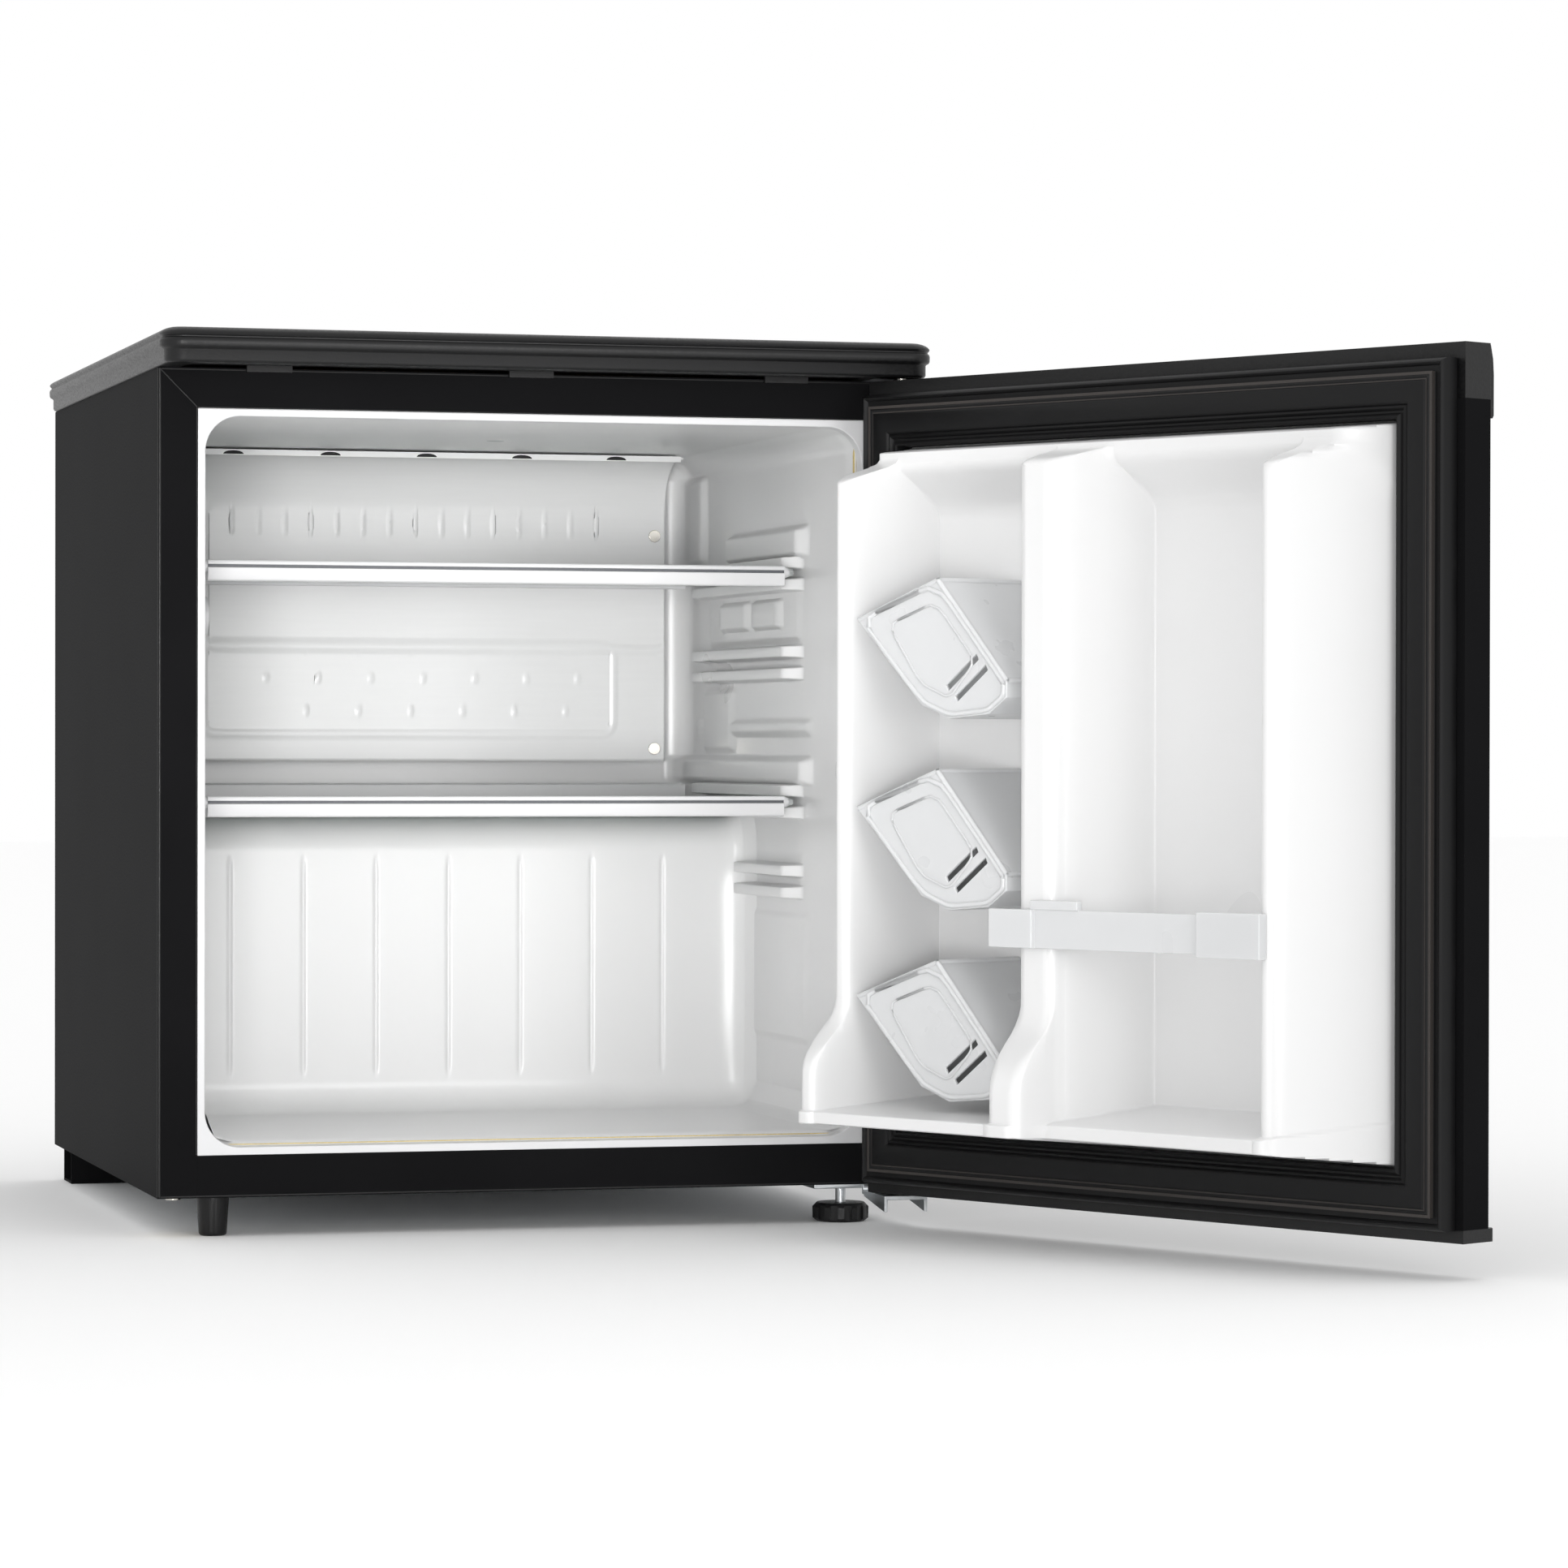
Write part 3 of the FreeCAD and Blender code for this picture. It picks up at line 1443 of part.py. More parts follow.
bottom_pin = rod(
    "bottom_pin",
    "pin_x",
    "pin_y",
    arm_low,
    "pin_radius",
    "hinge_drop + hinge_plate + pin_depth - door_drop - 1",
)
label(group("pin_pair", top_pin, bottom_pin), "hinge_pins")
all_bolts = [*bolts("top_bolt", 1, True), *bolts("hinge_bolt", 1, False), *bolts("spare_bolt", -1, False)]
label(group("bolt_set", *all_bolts), "hinge_bolts")

# ---------------------------------------------------------------- feet and skid

peg = revolve(
    "peg_body",
    [
        (0, 0),
        ("peg_bottom - 1", 0),
        ("peg_bottom", 1),
        ("peg_top", "foot_height"),
        ("stud_radius", "foot_height"),
        ("stud_radius", "foot_height + peg_length"),
        (0, "foot_height + peg_length"),
    ],
    "-foot_side",
    "front + foot_back",
)
label(peg, "fixed_foot")

pad = revolve(
    "pad_body",
    [
        (0, 0),
        ("pad_radius - 2.5", 0),
        ("pad_radius", 2),
        ("pad_radius", "pad_height - 2.5"),
        ("pad_radius - 2.5", "pad_height"),
        ("stud_radius + stud_clearance", "pad_height"),
        ("stud_radius + stud_clearance", 4),
        (0, 4),
    ],
    "foot_side",
    "front + foot_back",
)
flute = draw(
    pad,
    "pad_flute_outline",
    "XY_Plane",
    [
        ("pad_radius - 1.2", "-flute_radius"),
        ("pad_radius + 1", "-flute_radius"),
        ("pad_radius + 1", "flute_radius"),
        ("pad_radius - 1.2", "flute_radius"),
    ],
    -1,
)
flute_cut = pad.newObject("PartDesign::Pocket", "pad_flute")
flute_cut.Profile = flute
flute_cut.Reversed = True
bind(flute_cut, Length="pad_height + 2")
doc.recompute()
flutes = pad.newObject("PartDesign::PolarPattern", "pad_flutes")
flutes.Originals = [flute_cut]
flutes.Axis = (next(f for f in pad.Origin.OriginFeatures if f.Role == "Z_Axis"), [""])
flutes.Angle = 360
flutes.Occurrences = int(value("pad_flutes"))
pad.Tip = flutes
doc.recompute()
label(pad, "levelling_pad")
label(
    rod("stud_rod", "foot_side", "front + foot_back", 4, "stud_radius", "pad_height - 4 + stud_length"),
    "levelling_stud",
)
nut_block = doc.addObject("Part::Prism", "nut_block")
nut_block.Polygon = 6
bind(nut_block, Circumradius="nut_flats / 2 / cos(30deg)", Height="nut_height")
move(nut_block, "foot_side", "front + foot_back", "base + skin")
nut_bore = rod(
    "nut_bore", "foot_side", "front + foot_back", "base", "stud_radius + stud_clearance", "nut_height + 3"
)
label(cut("nut_done", nut_block, nut_bore), "levelling_nut")

skid_y = "front + skid_front"
skid = prism(
    "skid_body",
    "YZ_Plane",
    [
        (skid_y, "base"),
        (skid_y, 0),
        (f"{skid_y} + skid_depth", 0),
        (f"{skid_y} + skid_depth", "base"),
        (f"{skid_y} + skid_depth - skid_wall", "base"),
        (f"{skid_y} + skid_depth - skid_wall", "skid_wall"),
        (f"{skid_y} + skid_wall", "skid_wall"),
        (f"{skid_y} + skid_wall", "base"),
    ],
    "-half + skid_side",
    "half - skid_side",
)
label(skid, "rear_skid")
label(
    group(
        "bumper_pair",
        *[
            rod(
                f"bumper_{word}",
                f"{side} * (half - 12)",
                f"{skid_y} + skid_depth",
                "base - 7",
                4,
                "bumper_depth + 5",
                "y",
            )
            for word, side in (("left", -1), ("right", 1))
        ],
    ),
    "rear_bumpers",
)

# ---------------------------------------------------------------- cooling unit

deck = box(
    "deck",
    "-half + skin + bay_gap",
    "half - skin - bay_gap",
    "riser + bay_gap",
    "back - bay_gap",
    "base",
    "plate_deck",
)
mount_places = [
    (f"shell_x + {sx} * mount_half_x", f"shell_y + {sy} * mount_half_y") for sx in (-1, 1) for sy in (-1, 1)
]
bolt_reach = "bay_plate + grommet_height + mount_plate"
mount_stems = group(
    "mount_stems",
    *[
        rod(f"mount_hole_{i}", x, y, "base - 2", "stud_radius", f"{bolt_reach} + 3")
        for i, (x, y) in enumerate(mount_places)
    ],
)
label(cut("deck_done", deck, mount_stems), "compressor_plate")
label(
    cut(
        "grommets_done",
        group(
            "grommet_blocks",
            *[
                rod(f"grommet_{i}", x, y, "plate_deck", "grommet_radius", "grommet_height")
                for i, (x, y) in enumerate(mount_places)
            ],
        ),
        mount_stems,
    ),
    "compressor_grommets",
)
label(
    group(
        "mount_bolts",
        *[
            fuse(
                f"mount_bolt_{i}",
                rod(f"mount_stem_{i}", x, y, "base", "stud_radius", bolt_reach),
                rod(f"mount_head_{i}", x, y, "shell_foot + mount_plate", "nut_flats / 2", "nut_height"),
            )
            for i, (x, y) in enumerate(mount_places)
        ],
    ),
    "compressor_bolts",
)
shell_turn = revolve(
    "shell_body",
    [
        (0, 0),
        ("shell_radius - shell_round", 0),
        ("shell_radius - 6", 8),
        ("shell_radius", "shell_round"),
        ("shell_radius", "shell_height / 2 - 3"),
        ("shell_radius + 4", "shell_height / 2 - 3"),
        ("shell_radius + 4", "shell_height / 2 + 3"),
        ("shell_radius", "shell_height / 2 + 3"),
        ("shell_radius", "shell_height - shell_round"),
        ("shell_radius - 7", "shell_height - 9"),
        ("shell_radius - shell_round", "shell_height"),
        (0, "shell_height"),
    ],
    "shell_x",
    "shell_y",
    "shell_foot",
)
foot_plate = box(
    "foot_plate",
    "shell_x - mount_half_x - 9",
    "shell_x + mount_half_x + 9",
    "shell_y - mount_half_y - 9",
    "shell_y + mount_half_y + 9",
    "shell_foot",
    "shell_foot + mount_plate",
)
compressor = label(
    cut("compressor_done", fuse("compressor_solid", shell_turn, foot_plate), mount_stems), "compressor"
)
relay = box(
    "relay_block",
    "shell_x + shell_radius - 14",
    "shell_x + shell_radius - 14 + relay_width",
    "shell_y - relay_depth / 2",
    "shell_y + relay_depth / 2",
    "shell_foot + 16",
    "shell_foot + 16 + relay_height",
)
label(cut("relay_done", relay, compressor), "relay_cover")

pipe_z = "shell_foot + shell_height * 0.72"
discharge = tube(
    "discharge_run",
    [
        ("shell_x - shell_radius + 8", "shell_y - 20", pipe_z),
        ("shell_x - shell_radius - 45", "shell_y - 20", pipe_z),
        ("shell_x - shell_radius - 45", "shell_y - 20", "bay_top"),
    ],
    "tube_radius",
    "tube_bend",
)
discharge_done = cut("discharge_done", discharge, compressor)
suction = tube(
    "suction_run",
    [
        ("shell_x - shell_radius + 8", "shell_y + 24", f"{pipe_z} - 34"),
        ("shell_x - shell_radius - 75", "shell_y + 24", f"{pipe_z} - 34"),
        ("shell_x - shell_radius - 75", "shell_y + 24", "bay_top"),
    ],
    "tube_radius + 0.9",
    "tube_bend + 4",
)
suction_done = cut("suction_done", suction, compressor)
drier_x = "-half + 70"
drier_y = "back - 46"
drier_low = "base + 60"
label(
    fuse(
        "drier_done",
        rod("drier_can", drier_x, drier_y, drier_low, "drier_radius", "drier_length"),
        rod(
            "drier_top",
            drier_x,
            drier_y,
            f"{drier_low} + drier_length - 1",
            "tube_radius",
            "bay_top - base - 59 - drier_length",
        ),
    ),
    "filter_drier",
)
capillary = tube(
    "capillary_run",
    [
        (drier_x, drier_y, drier_low),
        (drier_x, drier_y, "base + 30"),
        (f"{drier_x} - 30", drier_y, "base + 30"),
        (f"{drier_x} - 30", drier_y, "bay_top"),
    ],
    "capillary_radius",
    10,
)
label(group("tube_set", discharge_done, suction_done, capillary), "refrigerant_tubes")

tray_z = "shell_foot + shell_height"
tray = box(
    "tray_block",
    "shell_x - tray_width / 2",
    "shell_x + tray_width / 2",
    "shell_y - tray_depth / 2",
    "shell_y + tray_depth / 2",
    tray_z,
    f"{tray_z} + tray_height",
)
tray_well = box(
    "tray_well",
    "shell_x - tray_width / 2 + tray_wall",
    "shell_x + tray_width / 2 - tray_wall",
    "shell_y - tray_depth / 2 + tray_wall",
    "shell_y + tray_depth / 2 - tray_wall",
    f"{tray_z} + tray_wall",
    f"{tray_z} + tray_height + 1",
)
label(cut("tray_done", tray, tray_well), "drip_tray")
drain_low = f"{tray_z} + tray_wall + 4"
drain_outer = rod("drain_outer", "shell_x", "shell_y", drain_low, "drain_radius", f"bay_top - ({drain_low})")
drain_bore = rod(
    "drain_bore",
    "shell_x",
    "shell_y",
    f"{drain_low} - 1",
    "drain_radius - 1.2",
    f"bay_top - ({drain_low}) + 2",
)
label(cut("drain_done", drain_outer, drain_bore), "drain_tube")

gland = revolve(
    "gland_body",
    [
        (2.5, "-3"),
        ("gland_radius + 2.5", "-3"),
        ("gland_radius + 2.5", 0),
        ("gland_radius", 0),
        ("gland_radius - 1.5", "gland_length"),
        (2.5, "gland_length"),
    ],
    "gland_x",
    "back + 3",
    "bay_top + 22",
)
gland.Placement.Rotation = FreeCAD.Rotation(FreeCAD.Vector(1, 0, 0), -90)
label(gland, "supply_gland")

sheet_screws = [
    (f"{side} * (half - 12)", f"bay_top + {height}") for side in (-1, 1) for height in (14, 140, 270)
]
label(
    group(
        "sheet_screw_heads",
        *[
            rod(f"sheet_screw_{i}", x, "back", z, "screw_head", "head_height", "y")
            for i, (x, z) in enumerate(sheet_screws)
        ],
    ),
    "back_panel_screws",
)
label(back_sheet, "back_panel")

# ---------------------------------------------------------------- checks and files

doc.recompute()
for thing in doc.Objects:
    if {"Invalid", "Error"} & set(thing.State):
        raise RuntimeError(f"{thing.Name} is {thing.State}")
os.makedirs("parts", exist_ok=True)
for node in NODES:
    if node.Shape.isNull() or not node.Shape.isValid():
        raise RuntimeError(f"{node.Label} has no sound shape")
    node.Shape.exportStep(f"parts/{node.Label}.step")
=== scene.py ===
import json
import math

import bmesh
import bpy
import numpy as np
from mathutils import Matrix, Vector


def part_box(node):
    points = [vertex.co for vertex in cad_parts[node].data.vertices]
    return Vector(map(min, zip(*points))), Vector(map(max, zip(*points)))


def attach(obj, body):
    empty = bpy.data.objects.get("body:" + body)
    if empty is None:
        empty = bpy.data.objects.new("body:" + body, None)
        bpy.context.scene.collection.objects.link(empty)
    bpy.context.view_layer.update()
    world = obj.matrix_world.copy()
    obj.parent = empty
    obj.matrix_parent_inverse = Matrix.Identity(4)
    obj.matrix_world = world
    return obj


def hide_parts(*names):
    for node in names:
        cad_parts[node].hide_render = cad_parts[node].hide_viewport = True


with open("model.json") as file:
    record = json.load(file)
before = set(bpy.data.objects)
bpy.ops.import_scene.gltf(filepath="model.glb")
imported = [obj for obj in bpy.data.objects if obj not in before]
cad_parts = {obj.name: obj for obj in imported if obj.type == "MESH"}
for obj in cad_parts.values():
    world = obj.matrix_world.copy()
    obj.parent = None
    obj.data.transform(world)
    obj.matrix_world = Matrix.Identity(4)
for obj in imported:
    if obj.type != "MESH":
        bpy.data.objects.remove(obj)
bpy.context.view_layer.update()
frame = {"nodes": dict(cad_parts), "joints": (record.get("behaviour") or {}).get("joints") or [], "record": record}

bl_info = {
    "name": "Compact Fridge",
    "version": (1, 0, 0),
    "blender": (4, 5, 0),
    "location": "3D View > Sidebar > Fridge",
    "description": "Finished surfaces and materials round the frame of a compact fridge",
    "category": "Object",
}

MM = 0.001
RECORD = frame["record"]
BODY_OF = {node: body for body, nodes in RECORD["behaviour"]["bodies"].items() for node in nodes}
SLOT_OF = {part["node"]: part["material_slot"] for part in RECORD["subparts"]}
HINGE = next(joint for joint in frame["joints"] if joint["name"] == "door_hinge")
PIN = np.array(HINGE["pos_m"][:2])
OPEN_ANGLE = math.radians(-HINGE["range_deg"][0])


def linear(hex_colour):
    """sRGB hex to the linear red, green and blue that shaders take."""
    channels = [int(hex_colour[i : i + 2], 16) / 255 for i in (1, 3, 5)]
    return tuple(c / 12.92 if c <= 0.04045 else ((c + 0.055) / 1.055) ** 2.4 for c in channels)


# ---------------------------------------------------------------- user settings


def colour_setting(name, description, hex_colour):
    """A colour that the panel's user can change."""
    return bpy.props.FloatVectorProperty(
        name=name,
        description=description,
        subtype="COLOR",
        size=3,
        min=0.0,
        max=1.0,
        default=linear(hex_colour),
    )


class FridgeColours(bpy.types.PropertyGroup):
    """Colours of the finishes that show."""

    liner: colour_setting("Liner", "Vacuum-formed liners of cabinet and door", "#E6E6E6")
    trim: colour_setting("Trim", "Moulded shelf trims and thermostat", "#D8D8D9")
    holder: colour_setting("Can holders", "Moulded can holders and bottle bar", "#D6D7D8")
    enamel: colour_setting("Evaporator", "Lacquered evaporator plate", "#E8E8E8")
    steel: colour_setting("Steel", "Painted steel of cabinet and door", "#161617")
    worktop: colour_setting("Worktop", "Moulded worktop and door caps", "#0A0A0B")
    seal: colour_setting("Gasket", "Door gasket", "#0D0D0E")
    floor: colour_setting("Floor", "Studio floor", "#FDFDFD")


# ---------------------------------------------------------------- node and material helpers


def node(tree, kind, settings=None, **links):
    """Adds a shader node, with its settings and inputs by name, and links sockets to its inputs."""
    made = tree.nodes.new(kind)
    for name, number in (settings or {}).items():
        if hasattr(made, name):
            setattr(made, name, number)
        else:
            made.inputs[name].default_value = number
    for name, socket in links.items():
        tree.links.new(socket, made.inputs[name.replace("_", " ")])
    return made


def finish(name, **settings):
    """A new material: its tree, its shader and the Object coordinates that patterns read."""
    material = bpy.data.materials.new(name)
    material.use_nodes = True
    tree = material.node_tree
    tree.nodes.clear()
    inputs = {key.replace("_", " "): value for key, value in settings.items()}
    shader = node(tree, "ShaderNodeBsdfPrincipled", inputs)
    node(tree, "ShaderNodeOutputMaterial", Surface=shader.outputs["BSDF"])
    place = node(tree, "ShaderNodeTexCoord")
    return material, tree, shader, place.outputs["Object"]


def shades(colour, *factors):
    """The colour made lighter or darker, as stops for a ramp."""
    return [tuple(min(1.0, c * factor) for c in colour) + (1.0,) for factor in factors]


def ramp(tree, source, stops):
    """Runs a grey value through evenly spread colours."""
    made = node(tree, "ShaderNodeValToRGB", Fac=source)
    made.color_ramp.elements[0].color = stops[0]
    made.color_ramp.elements[1].color = stops[-1]
    for i, stop in enumerate(stops[1:-1], start=1):
        made.color_ramp.elements.new(i / (len(stops) - 1)).color = stop
    return made.outputs["Color"]


def tinted(tree, shader, source, stops):
    """Colours a shader by a grey value through stops."""
    tree.links.new(ramp(tree, source, stops), shader.inputs["Base Color"])


def roughened(tree, shader, source, low, high):
    """Sets a shader's roughness by a grey value between two limits."""
    made = node(tree, "ShaderNodeMapRange", {"To Min": low, "To Max": high}, Value=source)
    tree.links.new(made.outputs["Result"], shader.inputs["Roughness"])


def noise(tree, place, millimetres, detail):
    """A grey value from noise of about this size."""
    settings = {"Scale": 1 / (millimetres * MM), "Detail": detail}
    return node(tree, "ShaderNodeTexNoise", settings, Vector=place).outputs["Fac"]


def raise_surface(tree, shader, source, millimetres):
    """Bumps a shader's surface by a grey value times a height."""
    made = node(
        tree, "ShaderNodeBump", {"Distance": millimetres * MM, "Strength": 1.0}, Height=source
    )
    tree.links.new(made.outputs["Normal"], shader.inputs["Normal"])


def clouded(name, colour, factors, size, detail, rough=None, bump=None, **settings):
    """A finish whose colour, and its roughness and bump where given, follow one noise."""
    material, tree, shader, place = finish(name, **settings)
    cloud = noise(tree, place, size, detail)
    tinted(tree, shader, cloud, shades(colour, *factors))
    if rough:
        roughened(tree, shader, cloud, *rough)
    if bump:
        raise_surface(tree, shader, cloud, bump)
    return material


# ---------------------------------------------------------------- materials


def vacuum_formed_polystyrene(colour):
    """Vacuum-formed polystyrene sheet: a soft gloss with a faint orange peel and slow, slight
    changes of thickness, so that highlights on the liner spread and wander a little."""
    material, tree, shader, place = finish(
        "Vacuum_formed_polystyrene", IOR=1.59, Subsurface_Weight=0.08, Subsurface_Scale=0.004
    )
    shader.inputs["Subsurface Radius"].default_value = (1.0, 0.95, 0.9)
    drift = noise(tree, place, 70, 2.0)
    peel = noise(tree, place, 5, 1.5)
    tinted(tree, shader, drift, shades(colour, 0.975, 1.0, 1.01))
    roughened(tree, shader, drift, 0.24, 0.36)
    raise_surface(tree, shader, peel, 0.04)
    return material


def moulded_abs(colour):
    """White injection-moulded ABS: an even satin with a very fine spark-eroded grain."""
    material, tree, shader, place = finish("White_moulded_ABS", IOR=1.54)
    grain = noise(tree, place, 1.2, 2.0)
    drift = noise(tree, place, 40, 1.0)
    tinted(tree, shader, drift, shades(colour, 0.98, 1.01))
    roughened(tree, shader, grain, 0.28, 0.4)
    raise_surface(tree, shader, grain, 0.01)
    return material


def frosted_polystyrene(colour):
    """Milky general-purpose polystyrene: light goes a little way in, so thin walls glow."""
    material, tree, shader, place = finish(
        "Frosted_polystyrene", IOR=1.59, Subsurface_Weight=0.35, Subsurface_Scale=0.006
    )
    shader.inputs["Subsurface Radius"].default_value = (1.0, 1.0, 1.0)
    flow = noise(tree, place, 25, 2.5)
    grain = noise(tree, place, 1.5, 2.0)
    tinted(tree, shader, flow, shades(colour, 0.95, 1.0))
    roughened(tree, shader, flow, 0.22, 0.38)
    raise_surface(tree, shader, grain, 0.012)
    return material


def lacquered_aluminium(colour):
    """Roll-bonded aluminium under white lacquer: rolling marks along the sheet show through."""
    material, tree, shader, place = finish("White_lacquered_aluminium", IOR=1.5, Coat_Weight=0.3)
    shader.inputs["Coat Roughness"].default_value = 0.2
    along = node(tree, "ShaderNodeMapping", {"Scale": (0.06, 1.0, 1.0)}, Vector=place)
    marks = noise(tree, along.outputs["Vector"], 2.5, 3.0)
    tinted(tree, shader, marks, shades(colour, 0.97, 1.01))
    roughened(tree, shader, marks, 0.3, 0.45)
    raise_surface(tree, shader, marks, 0.02)
    return material


def painted_steel(colour):
    """Black stove-enamelled steel sheet: nearly flat, with a fine powder grain. The real grain
    of 0.3 mm is drawn at 1.1 mm so that it shows."""
    material, tree, shader, place = finish("Black_enamelled_steel", IOR=1.5)
    shader.inputs["Specular IOR Level"].default_value = 0.004
    grain = noise(tree, place, 1.1, 2.0)
    drift = noise(tree, place, 90, 2.0)
    tinted(tree, shader, drift, shades(colour, 0.8, 1.25))
    roughened(tree, shader, grain, 0.36, 0.52)
    raise_surface(tree, shader, grain, 0.02)
    return material


def moulded_black_abs(colour):
    """Black injection-moulded ABS: deep black with a fine leather grain, a little glossier on
    its peaks. The real grain of 0.6 mm is drawn at 1.4 mm so that it shows."""
    material, tree, shader, place = finish("Black_moulded_ABS", IOR=1.54)
    shader.inputs["Specular IOR Level"].default_value = 0.3
    cells = node(
        tree,
        "ShaderNodeTexVoronoi",
        {"feature": "SMOOTH_F1", "Scale": 1 / (1.4 * MM), "Smoothness": 0.6},
        Vector=place,
    )
    drift = noise(tree, place, 60, 2.0)
    tinted(tree, shader, drift, shades(colour, 0.85, 1.2))
    roughened(tree, shader, cells.outputs["Distance"], 0.3, 0.5)
    raise_surface(tree, shader, cells.outputs["Distance"], 0.03)
    return material


def extruded_seal_vinyl(colour):
    """Extruded soft vinyl: dull black with faint drawing lines and a dusting of talc."""
    material, tree, shader, place = finish("Black_extruded_vinyl", IOR=1.53)
    shader.inputs["Specular IOR Level"].default_value = 0.2
    dust = noise(tree, place, 18, 4.0)
    lines = noise(tree, place, 1.3, 1.0)
    tinted(tree, shader, dust, shades(colour, 0.7, 1.0, 1.6))
    roughened(tree, shader, dust, 0.42, 0.6)
    raise_surface(tree, shader, lines, 0.015)
    return material


def zinc_plated_steel():
    """Bright zinc plating: silver with a cool, slightly cloudy passivation."""
    return clouded(
        "Zinc_plated_steel",
        linear("#C3C6C8"),
        (0.75, 1.0, 1.1),
        7,
        4.0,
        rough=(0.22, 0.42),
        Metallic=1.0,
    )


def nickel_screw_steel():
    """Nickel-plated screw heads: bright, with fine turning marks."""
    return clouded(
        "Nickel_plated_screws",
        linear("#C9C6BF"),
        (0.9, 1.05),
        0.8,
        2.0,
        rough=(0.12, 0.3),
        Metallic=1.0,
    )


def drawn_copper():
    """Drawn copper tube: warm metal, dulled in patches by handling."""
    return clouded(
        "Drawn_copper",
        linear("#B87650"),
        (0.55, 1.0, 1.1),
        12,
        5.0,
        rough=(0.25, 0.5),
        Metallic=1.0,
    )


def enamelled_casting():
    """Thick black dip paint on the compressor's shell: glossy, with runs and orange peel."""
    return clouded(
        "Black_dip_paint", linear("#141415"), (0.8, 1.3), 9, 2.0, bump=0.15, IOR=1.5, Roughness=0.28
    )


def soft_rubber():
    """Moulded natural rubber: matt black with a grey bloom."""
    return clouded(
        "Black_moulded_rubber",
        linear("#1A1A1A"),
        (0.7, 1.0, 1.7),
        6,
        5.0,
        bump=0.04,
        IOR=1.52,
        Roughness=0.8,
    )


def grey_polypropylene():
    """Moulded grey polypropylene: waxy and slightly mottled."""
    return clouded(
        "Grey_polypropylene", linear("#8E9296"), (0.9, 1.05), 15, 3.0, rough=(0.38, 0.55), IOR=1.49
    )


def painted_slot_shade():
    """Dark grey for the strip in the shelf rail's slot: painted shade where the glass edge sits, dull, with a fine
    mottle.
    """
    return clouded(
        "Grey_slot_shade_paint", linear("#5A5C60"), (0.8, 1.2), 1.5, 1.0, IOR=1.53, Roughness=0.5
    )


def natural_acetal():
    """Natural acetal: an off-white, slippery bearing plastic."""
    return clouded(
        "Natural_acetal", linear("#E6E3D8"), (0.95, 1.02), 5, 2.0, rough=(0.3, 0.42), IOR=1.48
    )


def polyurethane_foam():
    """Foamed-in-place polyurethane: straw yellow with fine cells."""
    material, tree, shader, place = finish("Polyurethane_foam", IOR=1.5, Roughness=0.9)
    cells = node(tree, "ShaderNodeTexVoronoi", {"Scale": 1 / (1.6 * MM)}, Vector=place)
    tinted(tree, shader, cells.outputs["Distance"], shades(linear("#D9C58A"), 1.05, 0.8))
    raise_surface(tree, shader, cells.outputs["Distance"], 0.3)
    return material


def chipboard():
    """Chipboard core: pale wood flakes of about 4 mm."""
    material, tree, shader, place = finish("Chipboard", IOR=1.5, Roughness=0.8)
    flakes = node(tree, "ShaderNodeTexVoronoi", {"Scale": 1 / (4 * MM)}, Vector=place)
    grey = node(tree, "ShaderNodeRGBToBW", Color=flakes.outputs["Color"])
    tinted(tree, shader, grey.outputs["Val"], shades(linear("#C09A68"), 0.7, 1.0, 1.2))
    return material


def bonded_ferrite():
    """Flexible ferrite magnet strip: dark brown grey and dull."""
    return clouded(
        "Bonded_ferrite", linear("#2E2926"), (0.7, 1.3), 1.0, 3.0, IOR=1.6, Roughness=0.7
    )


def shelf_glass():
    """Toughened float glass: clear with a faint green body, and a slight roller wave that
    bends what is seen through it."""
    material, tree, shader, place = finish(
        "Toughened_glass", IOR=1.52, Roughness=0.02, Transmission_Weight=1.0
    )
    wave = noise(tree, place, 120, 0.5)
    tinted(tree, shader, wave, shades(linear("#F3F9F6"), 0.99, 1.0))
    raise_surface(tree, shader, wave, 0.05)
    return material


def studio_floor_paint(colour):
    """Matt white studio floor paint with a barely visible roller mottle."""
    return clouded("Studio_floor_paint", colour, (0.99, 1.0), 40, 3.0, IOR=1.5, Roughness=0.9)


def make_finishes(colours):
    """Every finish, by the record's material slot."""
    enamel = painted_steel(tuple(colours.steel))
    abs_black = moulded_black_abs(tuple(colours.worktop))
    abs_white = moulded_abs(tuple(colours.trim))
    return {
        "black_steel": enamel,
        "steel_door": enamel,
        "black_plastic": abs_black,
        "black_worktop": abs_black,
        "white_liner": vacuum_formed_polystyrene(tuple(colours.liner)),
        "white_trim": abs_white,
        "white_hard": abs_white,
        "foam": polyurethane_foam(),
        "copper": drawn_copper(),
        "board": chipboard(),
        "white_metal": lacquered_aluminium(tuple(colours.enamel)),
        "chrome_screw": nickel_screw_steel(),
        "zinc_steel": zinc_plated_steel(),
        "rubber": soft_rubber(),
        "black_shell": enamelled_casting(),
        "tray_plastic": grey_polypropylene(),
        "glass": shelf_glass(),
        "gasket": extruded_seal_vinyl(tuple(colours.seal)),
        "magnet": bonded_ferrite(),
        "clear_white": frosted_polystyrene(tuple(colours.holder)),
        "acetal": natural_acetal(),
        # Painted shade for the slot of the front shelf rails.
        "edge_strip": painted_slot_shade(),
    }


FINISHES = {}


# ---------------------------------------------------------------- mesh helpers


def stand_for(piece, *nodes):
    """The piece takes the place of CAD nodes of one body, with their motion and finish."""
    piece.data.materials.clear()
    piece.data.materials.append(FINISHES[SLOT_OF[nodes[0]]])
    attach(piece, BODY_OF[nodes[0]])
    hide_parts(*nodes)
    return piece


def smooth_faces(mesh, sharp_degrees):
    mesh.polygons.foreach_set("use_smooth", np.ones(len(mesh.polygons), bool))
    mesh.set_sharp_from_angle(angle=math.radians(sharp_degrees))


